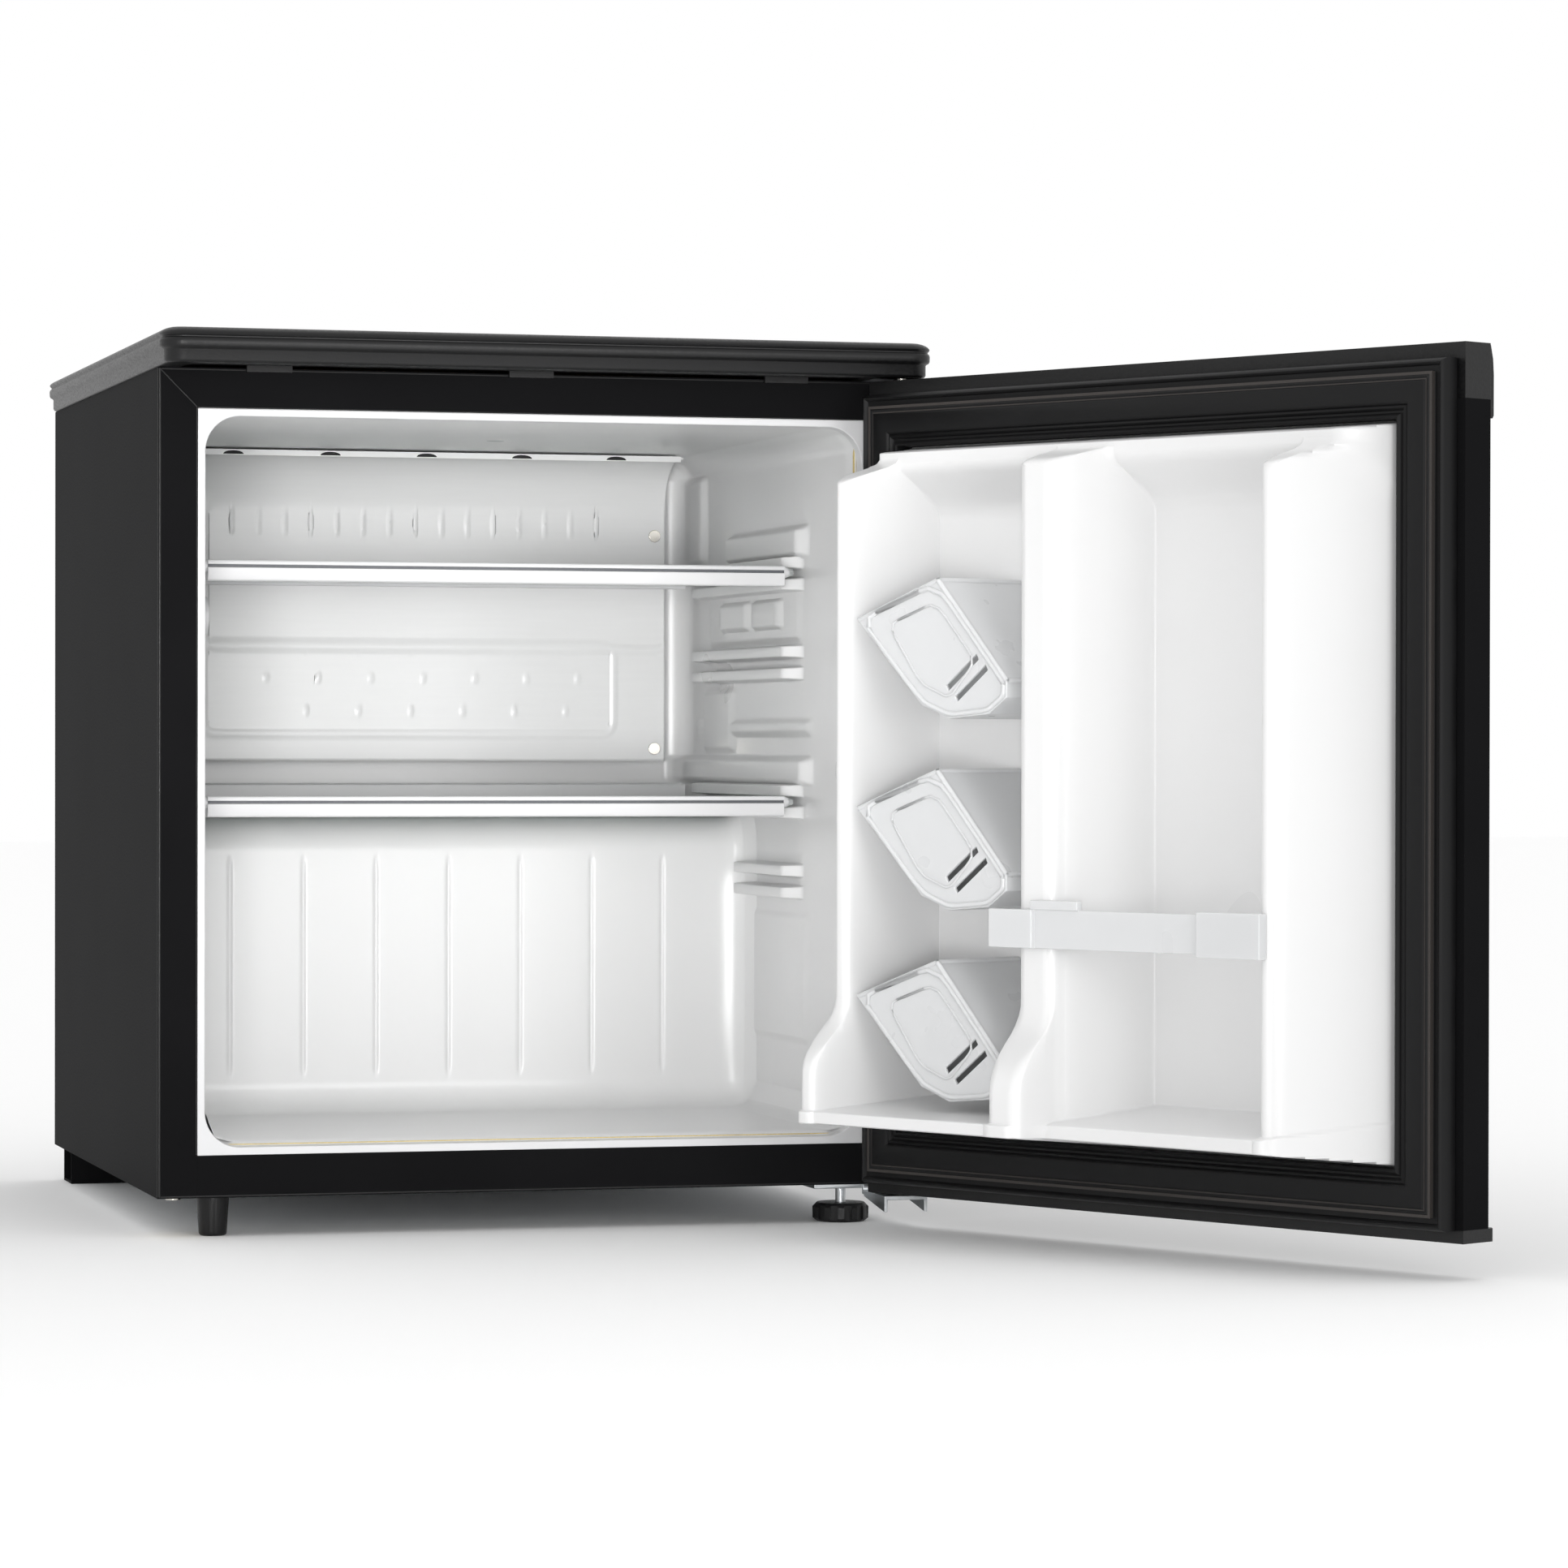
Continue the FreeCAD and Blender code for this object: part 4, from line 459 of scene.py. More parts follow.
def bevelled(piece, width, segments=2, degrees=30):
    """Rounds the sharp edges that catch the light."""
    bevel = piece.modifiers.new("Rounded_edges", "BEVEL")
    bevel.width = width
    bevel.segments = segments
    bevel.limit_method = "ANGLE"
    bevel.angle_limit = math.radians(degrees)
    bevel.harden_normals = True
    return piece


def eased(cad_node, millimetres, segments=2):
    """A copy of a CAD node with merged corners and rounded edges, in place of the node."""
    mesh = frame["nodes"][cad_node].data.copy()
    mesh.name = f"{cad_node}_finished"
    work = bmesh.new()
    work.from_mesh(mesh)
    bmesh.ops.remove_doubles(work, verts=work.verts, dist=1e-6)
    bmesh.ops.dissolve_limit(
        work, angle_limit=math.radians(1), verts=work.verts, edges=work.edges
    )
    work.to_mesh(mesh)
    work.free()
    smooth_faces(mesh, 30)
    piece = bpy.data.objects.new(f"{cad_node}_finished", mesh)
    bpy.context.collection.objects.link(piece)
    bevelled(piece, millimetres * MM, segments)
    return stand_for(piece, cad_node)


# ---------------------------------------------------------------- surface helpers


def smooth_step(place, at, width):
    """Rises from 0 to 1 over a width about a place, level at both ends."""
    part = np.clip((place - at) / width + 0.5, 0, 1)
    return part * part * (3 - 2 * part)


def plateau(place, low, high, width):
    """1 between low and high and 0 outside, with soft shoulders."""
    return smooth_step(place, low, width) - smooth_step(place, high, width)


def fillet_max(first, second, reach):
    """The larger of two heights, blended where they are closer than the reach."""
    return np.maximum(first, second) + np.maximum(reach - abs(first - second), 0) ** 2 / (4 * reach)


def gathered(low, high, spacing, edges, reach=1.5, count=7):
    """Places from low to high at an even spacing, with extra ones close to each edge."""
    even = np.linspace(low, high, int((high - low) / spacing) + 2)
    extra = [np.linspace(edge - reach, edge + reach, count) for edge in edges]
    return np.unique(np.concatenate([even, *extra]).clip(low, high).round(3))


def arc(centre, radius, start, end, count=9):
    """Points of a circular arc in a plane, angles in degrees."""
    angle = np.radians(np.linspace(start, end, count))
    return np.stack([centre[0] + radius * np.cos(angle), centre[1] + radius * np.sin(angle)], 1)


def mesh_of(name, *grids, caps=()):
    """One mesh over grids of points in millimetres. Each grid is its points, rows by columns,
    and whether it wraps round along its rows and along its columns. Caps are faces that close
    a grid, as point numbers in the first grid."""
    vertices, faces, start = [], [list(cap) for cap in caps], 0
    for points, wrap_rows, wrap_columns in grids:
        rows, columns = points.shape[:2]
        i, j = np.meshgrid(
            np.arange(rows - (not wrap_rows)),
            np.arange(columns - (not wrap_columns)),
            indexing="ij",
        )
        corners = [
            start + ((i + down) % rows) * columns + (j + across) % columns
            for down, across in ((0, 0), (1, 0), (1, 1), (0, 1))
        ]
        faces += np.stack(corners, axis=-1).reshape(-1, 4).tolist()
        vertices.append(points.reshape(-1, 3))
        start += rows * columns
    mesh = bpy.data.meshes.new(name)
    mesh.from_pydata((np.concatenate(vertices) * MM).tolist(), [], faces)
    mesh.update()
    return mesh


def outward(mesh):
    """Turns the faces of closed surfaces outward."""
    work = bmesh.new()
    work.from_mesh(mesh)
    bmesh.ops.recalc_face_normals(work, faces=work.faces)
    work.to_mesh(mesh)
    work.free()


def shown(name, mesh, sharp_degrees=30):
    """An object for a mesh, smooth but for its sharp edges."""
    smooth_faces(mesh, sharp_degrees)
    piece = bpy.data.objects.new(name, mesh)
    bpy.context.collection.objects.link(piece)
    return piece


def added(piece, body, slot):
    """The piece rides on a body in the finish of a slot, and stands for no node."""
    piece.data.materials.append(FINISHES[slot])
    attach(piece, body)
    return piece


def bar(name, profile, low, high):
    """A closed profile (Y, Z) drawn out along X between two places, with its ends closed."""
    count = len(profile)
    ends = [np.column_stack([np.full(count, x), profile]) for x in (low, high)]
    mesh = mesh_of(
        name,
        (np.stack(ends), False, True),
        caps=[range(count), range(2 * count - 1, count - 1, -1)],
    )
    outward(mesh)
    return mesh


def swung(points):
    """Turns points of the closed door, in millimetres, to the open door about the hinge pin."""
    pin = PIN / MM
    turn = np.array(
        [
            [math.cos(OPEN_ANGLE), math.sin(OPEN_ANGLE)],
            [-math.sin(OPEN_ANGLE), math.cos(OPEN_ANGLE)],
        ]
    )
    opened = points.copy()
    opened[..., :2] = (points[..., :2] - pin) @ turn + pin
    return opened


# ---------------------------------------------------------------- cabinet

WALL = 190.5
MOUTH_Y = -202.5
FLOOR_Z = 53.5
CEILING_Z = 465.5
REAR_Y = 177.5
CORNER = 16.0
STEP_Y = 22.5
STEP_Z = 233.5
RIB_LEVELS = {381.5: 127.5, 327.5: 127.5, 243.0: 127.5, 194.5: 22.5}
RIB_FRONT = -100.5
RIB_REACH = 12.0
# Moulded relief of the side walls: Y from, Y to, Z from, Z to, height.
RELIEF = (
    (131, 170, 398, 452, 3.5),
    (-108, 64, 394, 411, 7.0),
    (-94, 118, 344, 376, 2.0),
    (14, 82, 351, 369, 6.0),
    (-60, 5, 351, 369, 6.0),
    (61, 131, 276, 314, 3.0),
    (-118, 150, 286, 294, 2.5),
    (-118, 176, 256, 271, 7.0),
    (-110, 10, 100, 176, 1.5),
)


def side_relief(y, z):
    """Height of the side wall above its plane at Y and Z: quarter-round corners at the
    ceiling, floor and back, a step out to the trim, two ribs at each shelf level and raised
    rounded panels."""
    upright = np.maximum(z - (CEILING_Z - CORNER), (FLOOR_Z + CORNER) - z).clip(0)
    inward = (y - (REAR_Y - CORNER)).clip(0)
    part = ((upright / CORNER) ** 2 + (inward / CORNER) ** 2).clip(0, 1)
    height = CORNER * (1 - np.sqrt(1 - part)) - 2.5 * smooth_step(-y, 198, 7)
    raised = np.zeros_like(height)
    for level, rear in RIB_LEVELS.items():
        for low in (level - 8.9, level + 4.4):
            rib = plateau(z, low + 0.6, low + 7.9, 1.6) * plateau(y, RIB_FRONT + 5, rear, 11)
            raised = np.maximum(raised, RIB_REACH * rib)
    for y_from, y_to, z_from, z_to, proud in RELIEF:
        patch = plateau(y, y_from, y_to, 14) * plateau(z, z_from, z_to, 5)
        raised = np.maximum(raised, proud * patch)
    return height + raised


def step_path():
    """The floor, the compressor step and the back in the YZ plane, with their directions."""
    path = np.concatenate(
        [
            np.array([(MOUTH_Y, 50.8), (MOUTH_Y + 1.5, 51.4), (MOUTH_Y + 3.5, 52.9)]),
            np.column_stack([np.linspace(MOUTH_Y + 6, -16, 24), np.full(24, FLOOR_Z)]),
            arc((4.5, 71.5), 18, -90, 0, 12),
            np.column_stack([np.full(60, STEP_Y), np.linspace(73, 212, 60)]),
            arc((42.5, 213.5), 20, 180, 90, 12),
            np.column_stack([np.linspace(46, 157, 20), np.full(20, STEP_Z)]),
            arc((159.5, 251.5), 18, -90, 0, 12),
        ]
    )
    along = np.gradient(path, axis=0)
    along /= np.linalg.norm(along, axis=1, keepdims=True)
    return path, np.column_stack([-along[:, 1], along[:, 0]])


def liner_floor():
    """The step path spread across X, lifted into the side walls by a quarter round, with seven
    shallow grooves down the riser and ends that wander in and out near the top of the step."""
    path, out = step_path()
    grooves = -139 + 45.4 * np.arange(7)
    x = gathered(-WALL, WALL, 7, [*grooves, -WALL + 8, WALL - 8], reach=3.2, count=11)
    y, z = path[:, :1], path[:, 1:]
    riser = plateau(y, -15, 60, 30)
    waves = riser * (9 * smooth_step(-z, -202, 26) - 4 * plateau(z, 205, 226, 14))
    start = WALL - CORNER - waves * smooth_step(z, 85, 60)
    across = ((abs(x)[None, :] - start) / (WALL - start)).clip(0, 1)
    lift = CORNER * (1 - np.sqrt(1 - across**2))
    beads = np.exp(-(((x[None, :, None] - grooves) / 1.3) ** 2)).sum(axis=2)
    lift = lift - 1.1 * beads * plateau(z, 78, 208, 6) * plateau(y, 10, 40, 6)
    return np.stack(
        [np.broadcast_to(x, lift.shape), y + out[:, :1] * lift, z + out[:, 1:] * lift], axis=-1
    )


def liner_back():
    """The ceiling and the back wall: a path along the ceiling, round the rear corner and down."""
    path = np.concatenate(
        [
            np.column_stack([np.linspace(MOUTH_Y, 160, 30), np.full(30, CEILING_Z)]),
            arc((REAR_Y - CORNER, CEILING_Z - CORNER), CORNER, 90, 0, 12),
            np.column_stack([np.full(20, REAR_Y), np.linspace(448, 251.5, 20)]),
        ]
    )
    x = np.linspace(CORNER - WALL, WALL - CORNER, 24)
    return np.stack(
        [
            np.broadcast_to(x, (len(path), len(x))),
            np.broadcast_to(path[:, :1], (len(path), len(x))),
            np.broadcast_to(path[:, 1:], (len(path), len(x))),
        ],
        axis=-1,
    )


def liner_side(side):
    """One side wall in front of the compressor step and above it: X is the wall's plane less
    its relief, over a grid of Y and Z."""
    rib_edges = [level + shift for level in RIB_LEVELS for shift in (-8.3, -1.0, 5.0, 12.3)]
    soft_edges = [edge for patch in RELIEF for edge in patch[2:4]]
    z = np.unique(
        np.concatenate(
            [
                gathered(FLOOR_Z, CEILING_Z, 7, rib_edges, reach=1.0, count=7),
                gathered(FLOOR_Z, CEILING_Z, 400, soft_edges, reach=3.0, count=6),
                gathered(FLOOR_Z, CEILING_Z, 400, [FLOOR_Z, CEILING_Z], reach=CORNER, count=17),
                [STEP_Z],
            ]
        )
    )
    ends = [edge for patch in RELIEF for edge in patch[:2]] + [RIB_FRONT + 5, 22.5, 127.5]
    y = np.unique(
        np.concatenate(
            [
                gathered(MOUTH_Y, REAR_Y, 9, ends, reach=7, count=6),
                gathered(MOUTH_Y, REAR_Y, 400, [REAR_Y], reach=CORNER, count=17),
                [STEP_Y],
            ]
        )
    )
    grids = []
    for along, upright in ((y[y <= STEP_Y], z), (y[y >= STEP_Y], z[z >= STEP_Z])):
        along, upright = np.meshgrid(along, upright, indexing="ij")
        grid = np.stack([side * (WALL - side_relief(along, upright)), along, upright], axis=-1)
        grids.append(grid[::-side])
    return grids


class FRIDGE_OT_cabinet_liner(bpy.types.Operator):
    """Makes the vacuum-formed cabinet liner with its ribs, panels and compressor step"""

    bl_idname = "fridge.cabinet_liner"
    bl_label = "Cabinet liner"

    def execute(self, context):
        mesh = mesh_of(
            "cabinet_liner_formed",
            (liner_floor(), False, False),
            (liner_back(), False, False),
            *((grid, False, False) for side in (-1, 1) for grid in liner_side(side)),
        )
        stand_for(shown("cabinet_liner_formed", mesh, 50), "cabinet_liner")
        return {"FINISHED"}


def rounded_plan(half, front, back, front_radius, back_radius):
    """A rounded rectangle seen from above, as points and the directions out of it."""
    corners = (
        (half - front_radius, front + front_radius, front_radius, -90),
        (half - back_radius, back - back_radius, back_radius, 0),
        (back_radius - half, back - back_radius, back_radius, 90),
        (front_radius - half, front + front_radius, front_radius, 180),
    )
    points = [arc(c[:2], c[2], c[3], c[3] + 90, 12) for c in corners]
    out = [arc((0, 0), 1, c[3], c[3] + 90, 12) for c in corners]
    return np.concatenate(points), np.concatenate(out)


# Edge of the worktop from its top down: inset from the outline, depth below the top.
WORKTOP_EDGE = np.array(
    [(9, 0), (6.5, 0.15), (4.2, 0.7), (2.3, 1.5), (1.0, 2.4), (0.3, 3.2), (0.1, 3.7), (0.5, 4.5)]
    + [(1.2, 5.2), (1.2, 5.8), (0.4, 6.5), (0.0, 7.5), (0.0, 8.6), (0.1, 10.6), (0.7, 11.6)]
    + [(1.9, 12.2), (2.4, 12.9), (2.4, 18.4), (3.0, 19.5), (4.2, 20.0)]
)


class FRIDGE_OT_worktop(bpy.types.Operator):
    """Makes the moulded worktop with its beaded edge"""

    bl_idname = "fridge.worktop"
    bl_label = "Worktop"

    def execute(self, context):
        """The edge profile is carried round the rounded outline and closed above and below."""
        low, high = (np.array(corner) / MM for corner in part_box("worktop"))
        outline, out = rounded_plan(high[0], low[1], high[1], 14, 7)
        rings = [
            np.column_stack([outline - out * inset, np.full(len(outline), high[2] - depth)])
            for inset, depth in WORKTOP_EDGE
        ]
        underside = np.array(rings[-1])
        underside[:, :2] *= (high[0] - 13) / high[0]
        underside[:, 1] = underside[:, 1].clip(low[1] + 14, high[1] - 14)
        relief = underside.copy()
        relief[:, 2] += 3.8
        rings += [underside, relief]
        count, last = len(outline), len(rings) * len(outline)
        mesh = mesh_of(
            "worktop_moulded",
            (np.stack(rings), False, True),
            caps=[range(count), range(last - 1, last - count - 1, -1)],
        )
        outward(mesh)
        stand_for(shown("worktop_moulded", mesh, 40), "worktop")
        return {"FINISHED"}


def tube(path, radius, sides=10):
    """A round bar along straight lines between points, as one wrapped grid."""
    path = np.array(path, float)
    along = np.gradient(path, axis=0)
    along /= np.linalg.norm(along, axis=1, keepdims=True)
    first = np.cross(along, (0.31, 0.17, 0.93))
    first /= np.linalg.norm(first, axis=1, keepdims=True)
    second = np.cross(along, first)
    angle = np.linspace(0, 2 * math.pi, sides, endpoint=False)[None, :, None]
    ring = np.cos(angle) * first[:, None] + np.sin(angle) * second[:, None]
    return path[:, None] + radius * ring


class FRIDGE_OT_front_frame(bpy.types.Operator):
    """Makes the rounded folds of the front frame and its mitred top corners"""

    bl_idname = "fridge.front_frame"
    bl_label = "Front frame"

    def execute(self, context):
        """Thin round bars lie in the folds and along the mitres of the steel."""
        folds = []
        for side in (-1, 1):
            folds.append([(side * 219.0, -211.6, 23.5), (side * 219.0, -211.6, 491.2)])
            folds.append([(side * 198.0, -212.3, 470), (side * 219.2, -212.3, 491.4)])
            folds.append([(side * 198.0, -212.2, 47), (side * 198.0, -212.2, 469.4)])
        folds.append([(-219, -211.6, 491.1), (219, -211.6, 491.1)])
        folds.append([(-197.5, -212.2, 469.9), (197.5, -212.2, 469.9)])
        folds.append([(-219, -211.6, 23.5), (219, -211.6, 23.5)])
        radii = [1.2, 0.55, 0.45] * 2 + [1.0, 0.45, 1.0]
        grids = [(tube(fold, radius), False, True) for fold, radius in zip(folds, radii)]
        mesh = mesh_of("frame_folds", *grids)
        outward(mesh)
        added(shown("frame_folds", mesh, 60), BODY_OF["outer_wrapper"], "black_plastic")
        return {"FINISHED"}


# ---------------------------------------------------------------- evaporator and shelves


def ring_bead(across, up, half, low, high, radius, centre=0.0):
    """1 on the outline of a rounded rectangle and 0 away from it: a bead 3 mm wide."""
    dx = abs(across - centre) - (half - radius)
    dz = abs(up - (low + high) / 2) - ((high - low) / 2 - radius)
    distance = np.hypot(dx.clip(0), dz.clip(0)) + np.minimum(np.maximum(dx, dz), 0) - radius
    return np.exp(-((distance / 1.5) ** 2))


def plate_relief(x, z):
    """Height of the roll-bonded channels: two rounded outlines, a row of ticks and rows of
    small domes, as the refrigerant passages make them."""
    height = 1.1 * ring_bead(x, z, 152, 341, 435, 9, centre=18)
    height = np.maximum(height, 0.9 * ring_bead(x, z, 134, 286, 344, 8))
    for start, top, bottom in ((-116, 428, 414), (-99.5, 425, 418)):
        ticks = np.cos((x - start) * 2 * math.pi / 17.0).clip(0) ** 24
        row = plateau(z, bottom, top, 4) * plateau(x, -125, 128, 4)
        height = np.maximum(height, 0.8 * ticks * row)
    for level, shift in ((341, 0.0), (322, 8.0), (301, 0.0)):
        domes = np.cos((x - shift) * math.pi / 17.0).clip(0) ** 30
        row = np.exp(-(((z - level) / 2.6) ** 2))
        height = np.maximum(height, 0.8 * domes * row * plateau(x, -100, 126, 4))
    return height


class FRIDGE_OT_evaporator(bpy.types.Operator):
    """Makes the roll-bonded evaporator plate with its bent top and notched edge"""

    bl_idname = "fridge.evaporator"
    bl_label = "Evaporator plate"

    def execute(self, context):
        """A path up the plate and round the bend is spread across X. The channels stand out
        along its normal, and half-moon notches shorten it at its front edge. Dark half-moons
        in the notches are painted shade."""
        low, high = (np.array(corner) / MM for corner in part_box("evaporator_plate"))
        bend = 36.0
        face = REAR_Y - 24.0
        path = np.concatenate(
            [
                np.column_stack([np.full(92, face), np.linspace(low[2], high[2] - bend - 1, 92)]),
                arc((face - bend, high[2] - bend), bend, 0, 90, 14),
                np.column_stack([np.linspace(face - bend - 2, low[1], 9), np.full(9, high[2])]),
            ]
        )
        along = np.gradient(path, axis=0)
        along /= np.linalg.norm(along, axis=1, keepdims=True)
        out = np.column_stack([-along[:, 1], along[:, 0]])
        notches = 61.7 * (np.arange(5) - 2)
        x = gathered(low[0], high[0], 1.2, notches, reach=7.5, count=21)
        bite = np.sqrt((1 - ((x[:, None] - notches) / 6.5) ** 2).clip(0)).sum(axis=1) * 5
        relief = plate_relief(x[None, :], path[:, 1:]) * (path[:, :1] > face - 1)
        edge = smooth_step(path[:, :1], face - bend - 6, -12) * bite
        y = path[:, :1] + out[:, :1] * relief + edge
        z = path[:, 1:] + out[:, 1:] * relief
        points = np.stack([np.broadcast_to(x, y.shape), y, z], axis=-1)
        mesh = mesh_of("evaporator_pressed", (points, False, False))
        piece = shown("evaporator_pressed", mesh, 50)
        sheet = piece.modifiers.new("Sheet", "SOLIDIFY")
        sheet.thickness = 1.5 * MM
        sheet.offset = -1
        stand_for(piece, "evaporator_plate")
        # Dark half-moon patches in the rubber finish fill the notches: painted shade of the gap behind the fold.
        count = 13
        angle = np.linspace(0, math.pi, count)
        shade_patches = [
            np.stack(
                [
                    np.column_stack(
                        [at + 6.5 * np.cos(angle), np.full(count, y), 461.2 + 2.3 * np.sin(angle)]
                    )
                    for y in (low[1] - 0.7, low[1] + 0.6)
                ]
            )
            for at in notches
        ]
        caps = [[count * 2 * i + k for k in range(count)] for i in range(len(notches))]
        mesh = mesh_of("notch_painted_shade", *[(gap, False, True) for gap in shade_patches], caps=caps)
        outward(mesh)
        added(shown("notch_painted_shade", mesh), BODY_OF["evaporator_plate"], "rubber")
        near, far = low[1] - 0.6, low[1] + 0.4
        profile = np.array([(near, 460.6), (far, 460.6), (far, 464.2), (near, 464.2)])
        lip = bar("fold_lip", profile, low[0] + 2, high[0] - 2)
        added(shown("fold_lip", lip), BODY_OF["evaporator_plate"], "white_metal")
        return {"FINISHED"}


def shelf_rail(name, facing):
    """A moulded shelf rail: a rounded lip over the glass, a slot that shows the glass edge and
    a rounded skirt, drawn out along X, with a tapered pin at each end."""
    low, high = (np.array(corner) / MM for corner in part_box(name))
    depth, height = high[1] - low[1], high[2] - low[2]
    section = np.array(
        [(1.0, 0.0), (1.0, 0.9), (0.1, 0.98), (0.03, 0.94), (0.0, 0.86), (0.0, 0.79), (0.02, 0.775)]
        + [(0.16, 0.775), (0.16, 0.63), (0.02, 0.63), (0.0, 0.61), (0.02, 0.2), (0.06, 0.06)]
        + [(0.14, 0.0)]
    )
    across = section[:, 0] if facing < 0 else 1 - section[:, 0]
    profile = np.column_stack([low[1] + across * depth, low[2] + section[:, 1] * height])
    rail = bar(f"{name}_moulded", profile, -175, 175)
    piece = shown(f"{name}_moulded", rail, 35)
    bevelled(piece, 0.4 * MM)
    stand_for(piece, name)
    glass_name = name.replace("front_trim", "glass").replace("rear_trim", "glass")
    glass_low, glass_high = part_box(glass_name)
    slim = 1.0 if facing < 0 else 0.5
    middle = np.array([low[1] + 0.45 * depth, (glass_low[2] + glass_high[2]) / 2 / MM])
    pins = []
    for side in (-1, 1):
        rings = [(174, 3.6), (176, 3.6), (181.0, 1.6), (181.9, 0.9), (182, 0.01)]
        rings = [(x, slim * radius) for x, radius in rings]
        turn = np.linspace(0, 2 * math.pi, 16, endpoint=False)
        circle = np.column_stack([np.cos(turn), np.sin(turn)])
        rows = [np.insert(middle + r * circle, 0, side * x, axis=1) for x, r in rings]
        pins.append((np.stack(rows), False, True))
    mesh = mesh_of(f"{name}_pins", *pins)
    outward(mesh)
    added(shown(f"{name}_pins", mesh), BODY_OF[name], SLOT_OF[name])
    # The front rails get a dark grey strip in the slot: painted shade where the glass edge sits in the slot.
    if facing < 0:
        z_low, z_high = low[2] + 0.64 * height, low[2] + 0.765 * height
        y_low, y_high = low[1] + 0.1 * depth, low[1] + 0.2 * depth
        strip = [(y_low, z_low), (y_high, z_low), (y_high, z_high), (y_low, z_high)]
        mesh = bar(f"{name}_glass_edge", np.array(strip), -174.8, 174.8)
        edge = shown(f"{name}_glass_edge", mesh)
        added(edge, BODY_OF[name], "glass")
        edge.data.materials[0] = FINISHES["edge_strip"]


class FRIDGE_OT_shelf_rails(bpy.types.Operator):
    """Makes the front and rear rails of both shelves"""

    bl_idname = "fridge.shelf_rails"
    bl_label = "Shelf rails"

    def execute(self, context):
        for shelf in ("upper_shelf", "lower_shelf"):
            shelf_rail(f"{shelf}_front_trim", -1)
            shelf_rail(f"{shelf}_rear_trim", 1)
        return {"FINISHED"}


# ---------------------------------------------------------------- door

FLANGE_Y = -226.7
TIP_Y = -150.5
BULGE_Y = -124.5
FOAM_HIGH = 460.0
FOAM_BACK_Y = -249.7
BIN_LOW = 58.5
BIN_HIGH = 449.5


def block_height(x, z, root, near, tip, far, corner=3.0):
    """Height over X and Z of a drafted block between a rectangle at its root and one at its
    tip, each X from, X to, Z from, Z to. The tip is rounded across X."""
    (x0, x1, z0, z1), (u0, u1, w0, w1) = near, far
    rise = [
        (x - x0) / max(u0 - x0, 0.2),
        (x1 - x) / max(x1 - u1, 0.2),
        (z - z0) / (w0 - z0),
        (z1 - z) / (z1 - w1),
    ]
    sides = root + (tip - root) * np.minimum.reduce(rise)
    beyond = (abs(x - (u0 + u1) / 2) - (u1 - u0) / 2 + corner).clip(0, corner)
    crown = tip - corner + np.sqrt(corner**2 - beyond**2)
    return -fillet_max(-sides, -crown, 2 * corner)


# Blocks of the door liner with the door closed: root Y, rectangle, tip Y, rectangle, corner.
ROOT_Y = -228.2
DOOR_BLOCKS = (
    (ROOT_Y, (-183, 183, 58.5, 449.5), -220.5, (-181, 181, 60.5, 447.5), 1.5),
    (ROOT_Y, (156, 183, 58.5, 449.5), TIP_Y, (160, 172, 66.5, 428.5), 5.0),
    (ROOT_Y, (-10, 38, 58.5, 449.5), TIP_Y, (2, 30, 66.5, 434.5), 8.0),
    (ROOT_Y, (-183, -140, 58.5, 449.5), TIP_Y, (-153, -145, 66.5, 426.5), 4.0),
    (ROOT_Y, (-183, 183, 409.5, 449.5), -188.5, (-171, 175, 435.5, 445.5), 3.0),
    (ROOT_Y, (-183, 30, 58.5, 82.5), TIP_Y + 4, (-153, 30, 66.5, 74.5), 4.0),
    (ROOT_Y, (8, 183, 58.5, 80.5), BULGE_Y, (8, 172, 67.5, 74.5), 4.0),
    (-172.5, (159, 175, 66.5, 147.5), BULGE_Y, (161, 172, 67.5, 102.5), 4.0),
    (-172.5, (3, 29, 66.5, 147.5), BULGE_Y, (4, 28, 67.5, 102.5), 7.0),
)


def door_height(x, z):
    """Height of the door liner over X and Z with the door closed: the flange and the blocks,
    with a fillet wherever two of them meet."""
    height = np.full_like(x, FLANGE_Y)
    for block in DOOR_BLOCKS:
        height = fillet_max(height, block_height(x, z, *block), 11.0)
    return height


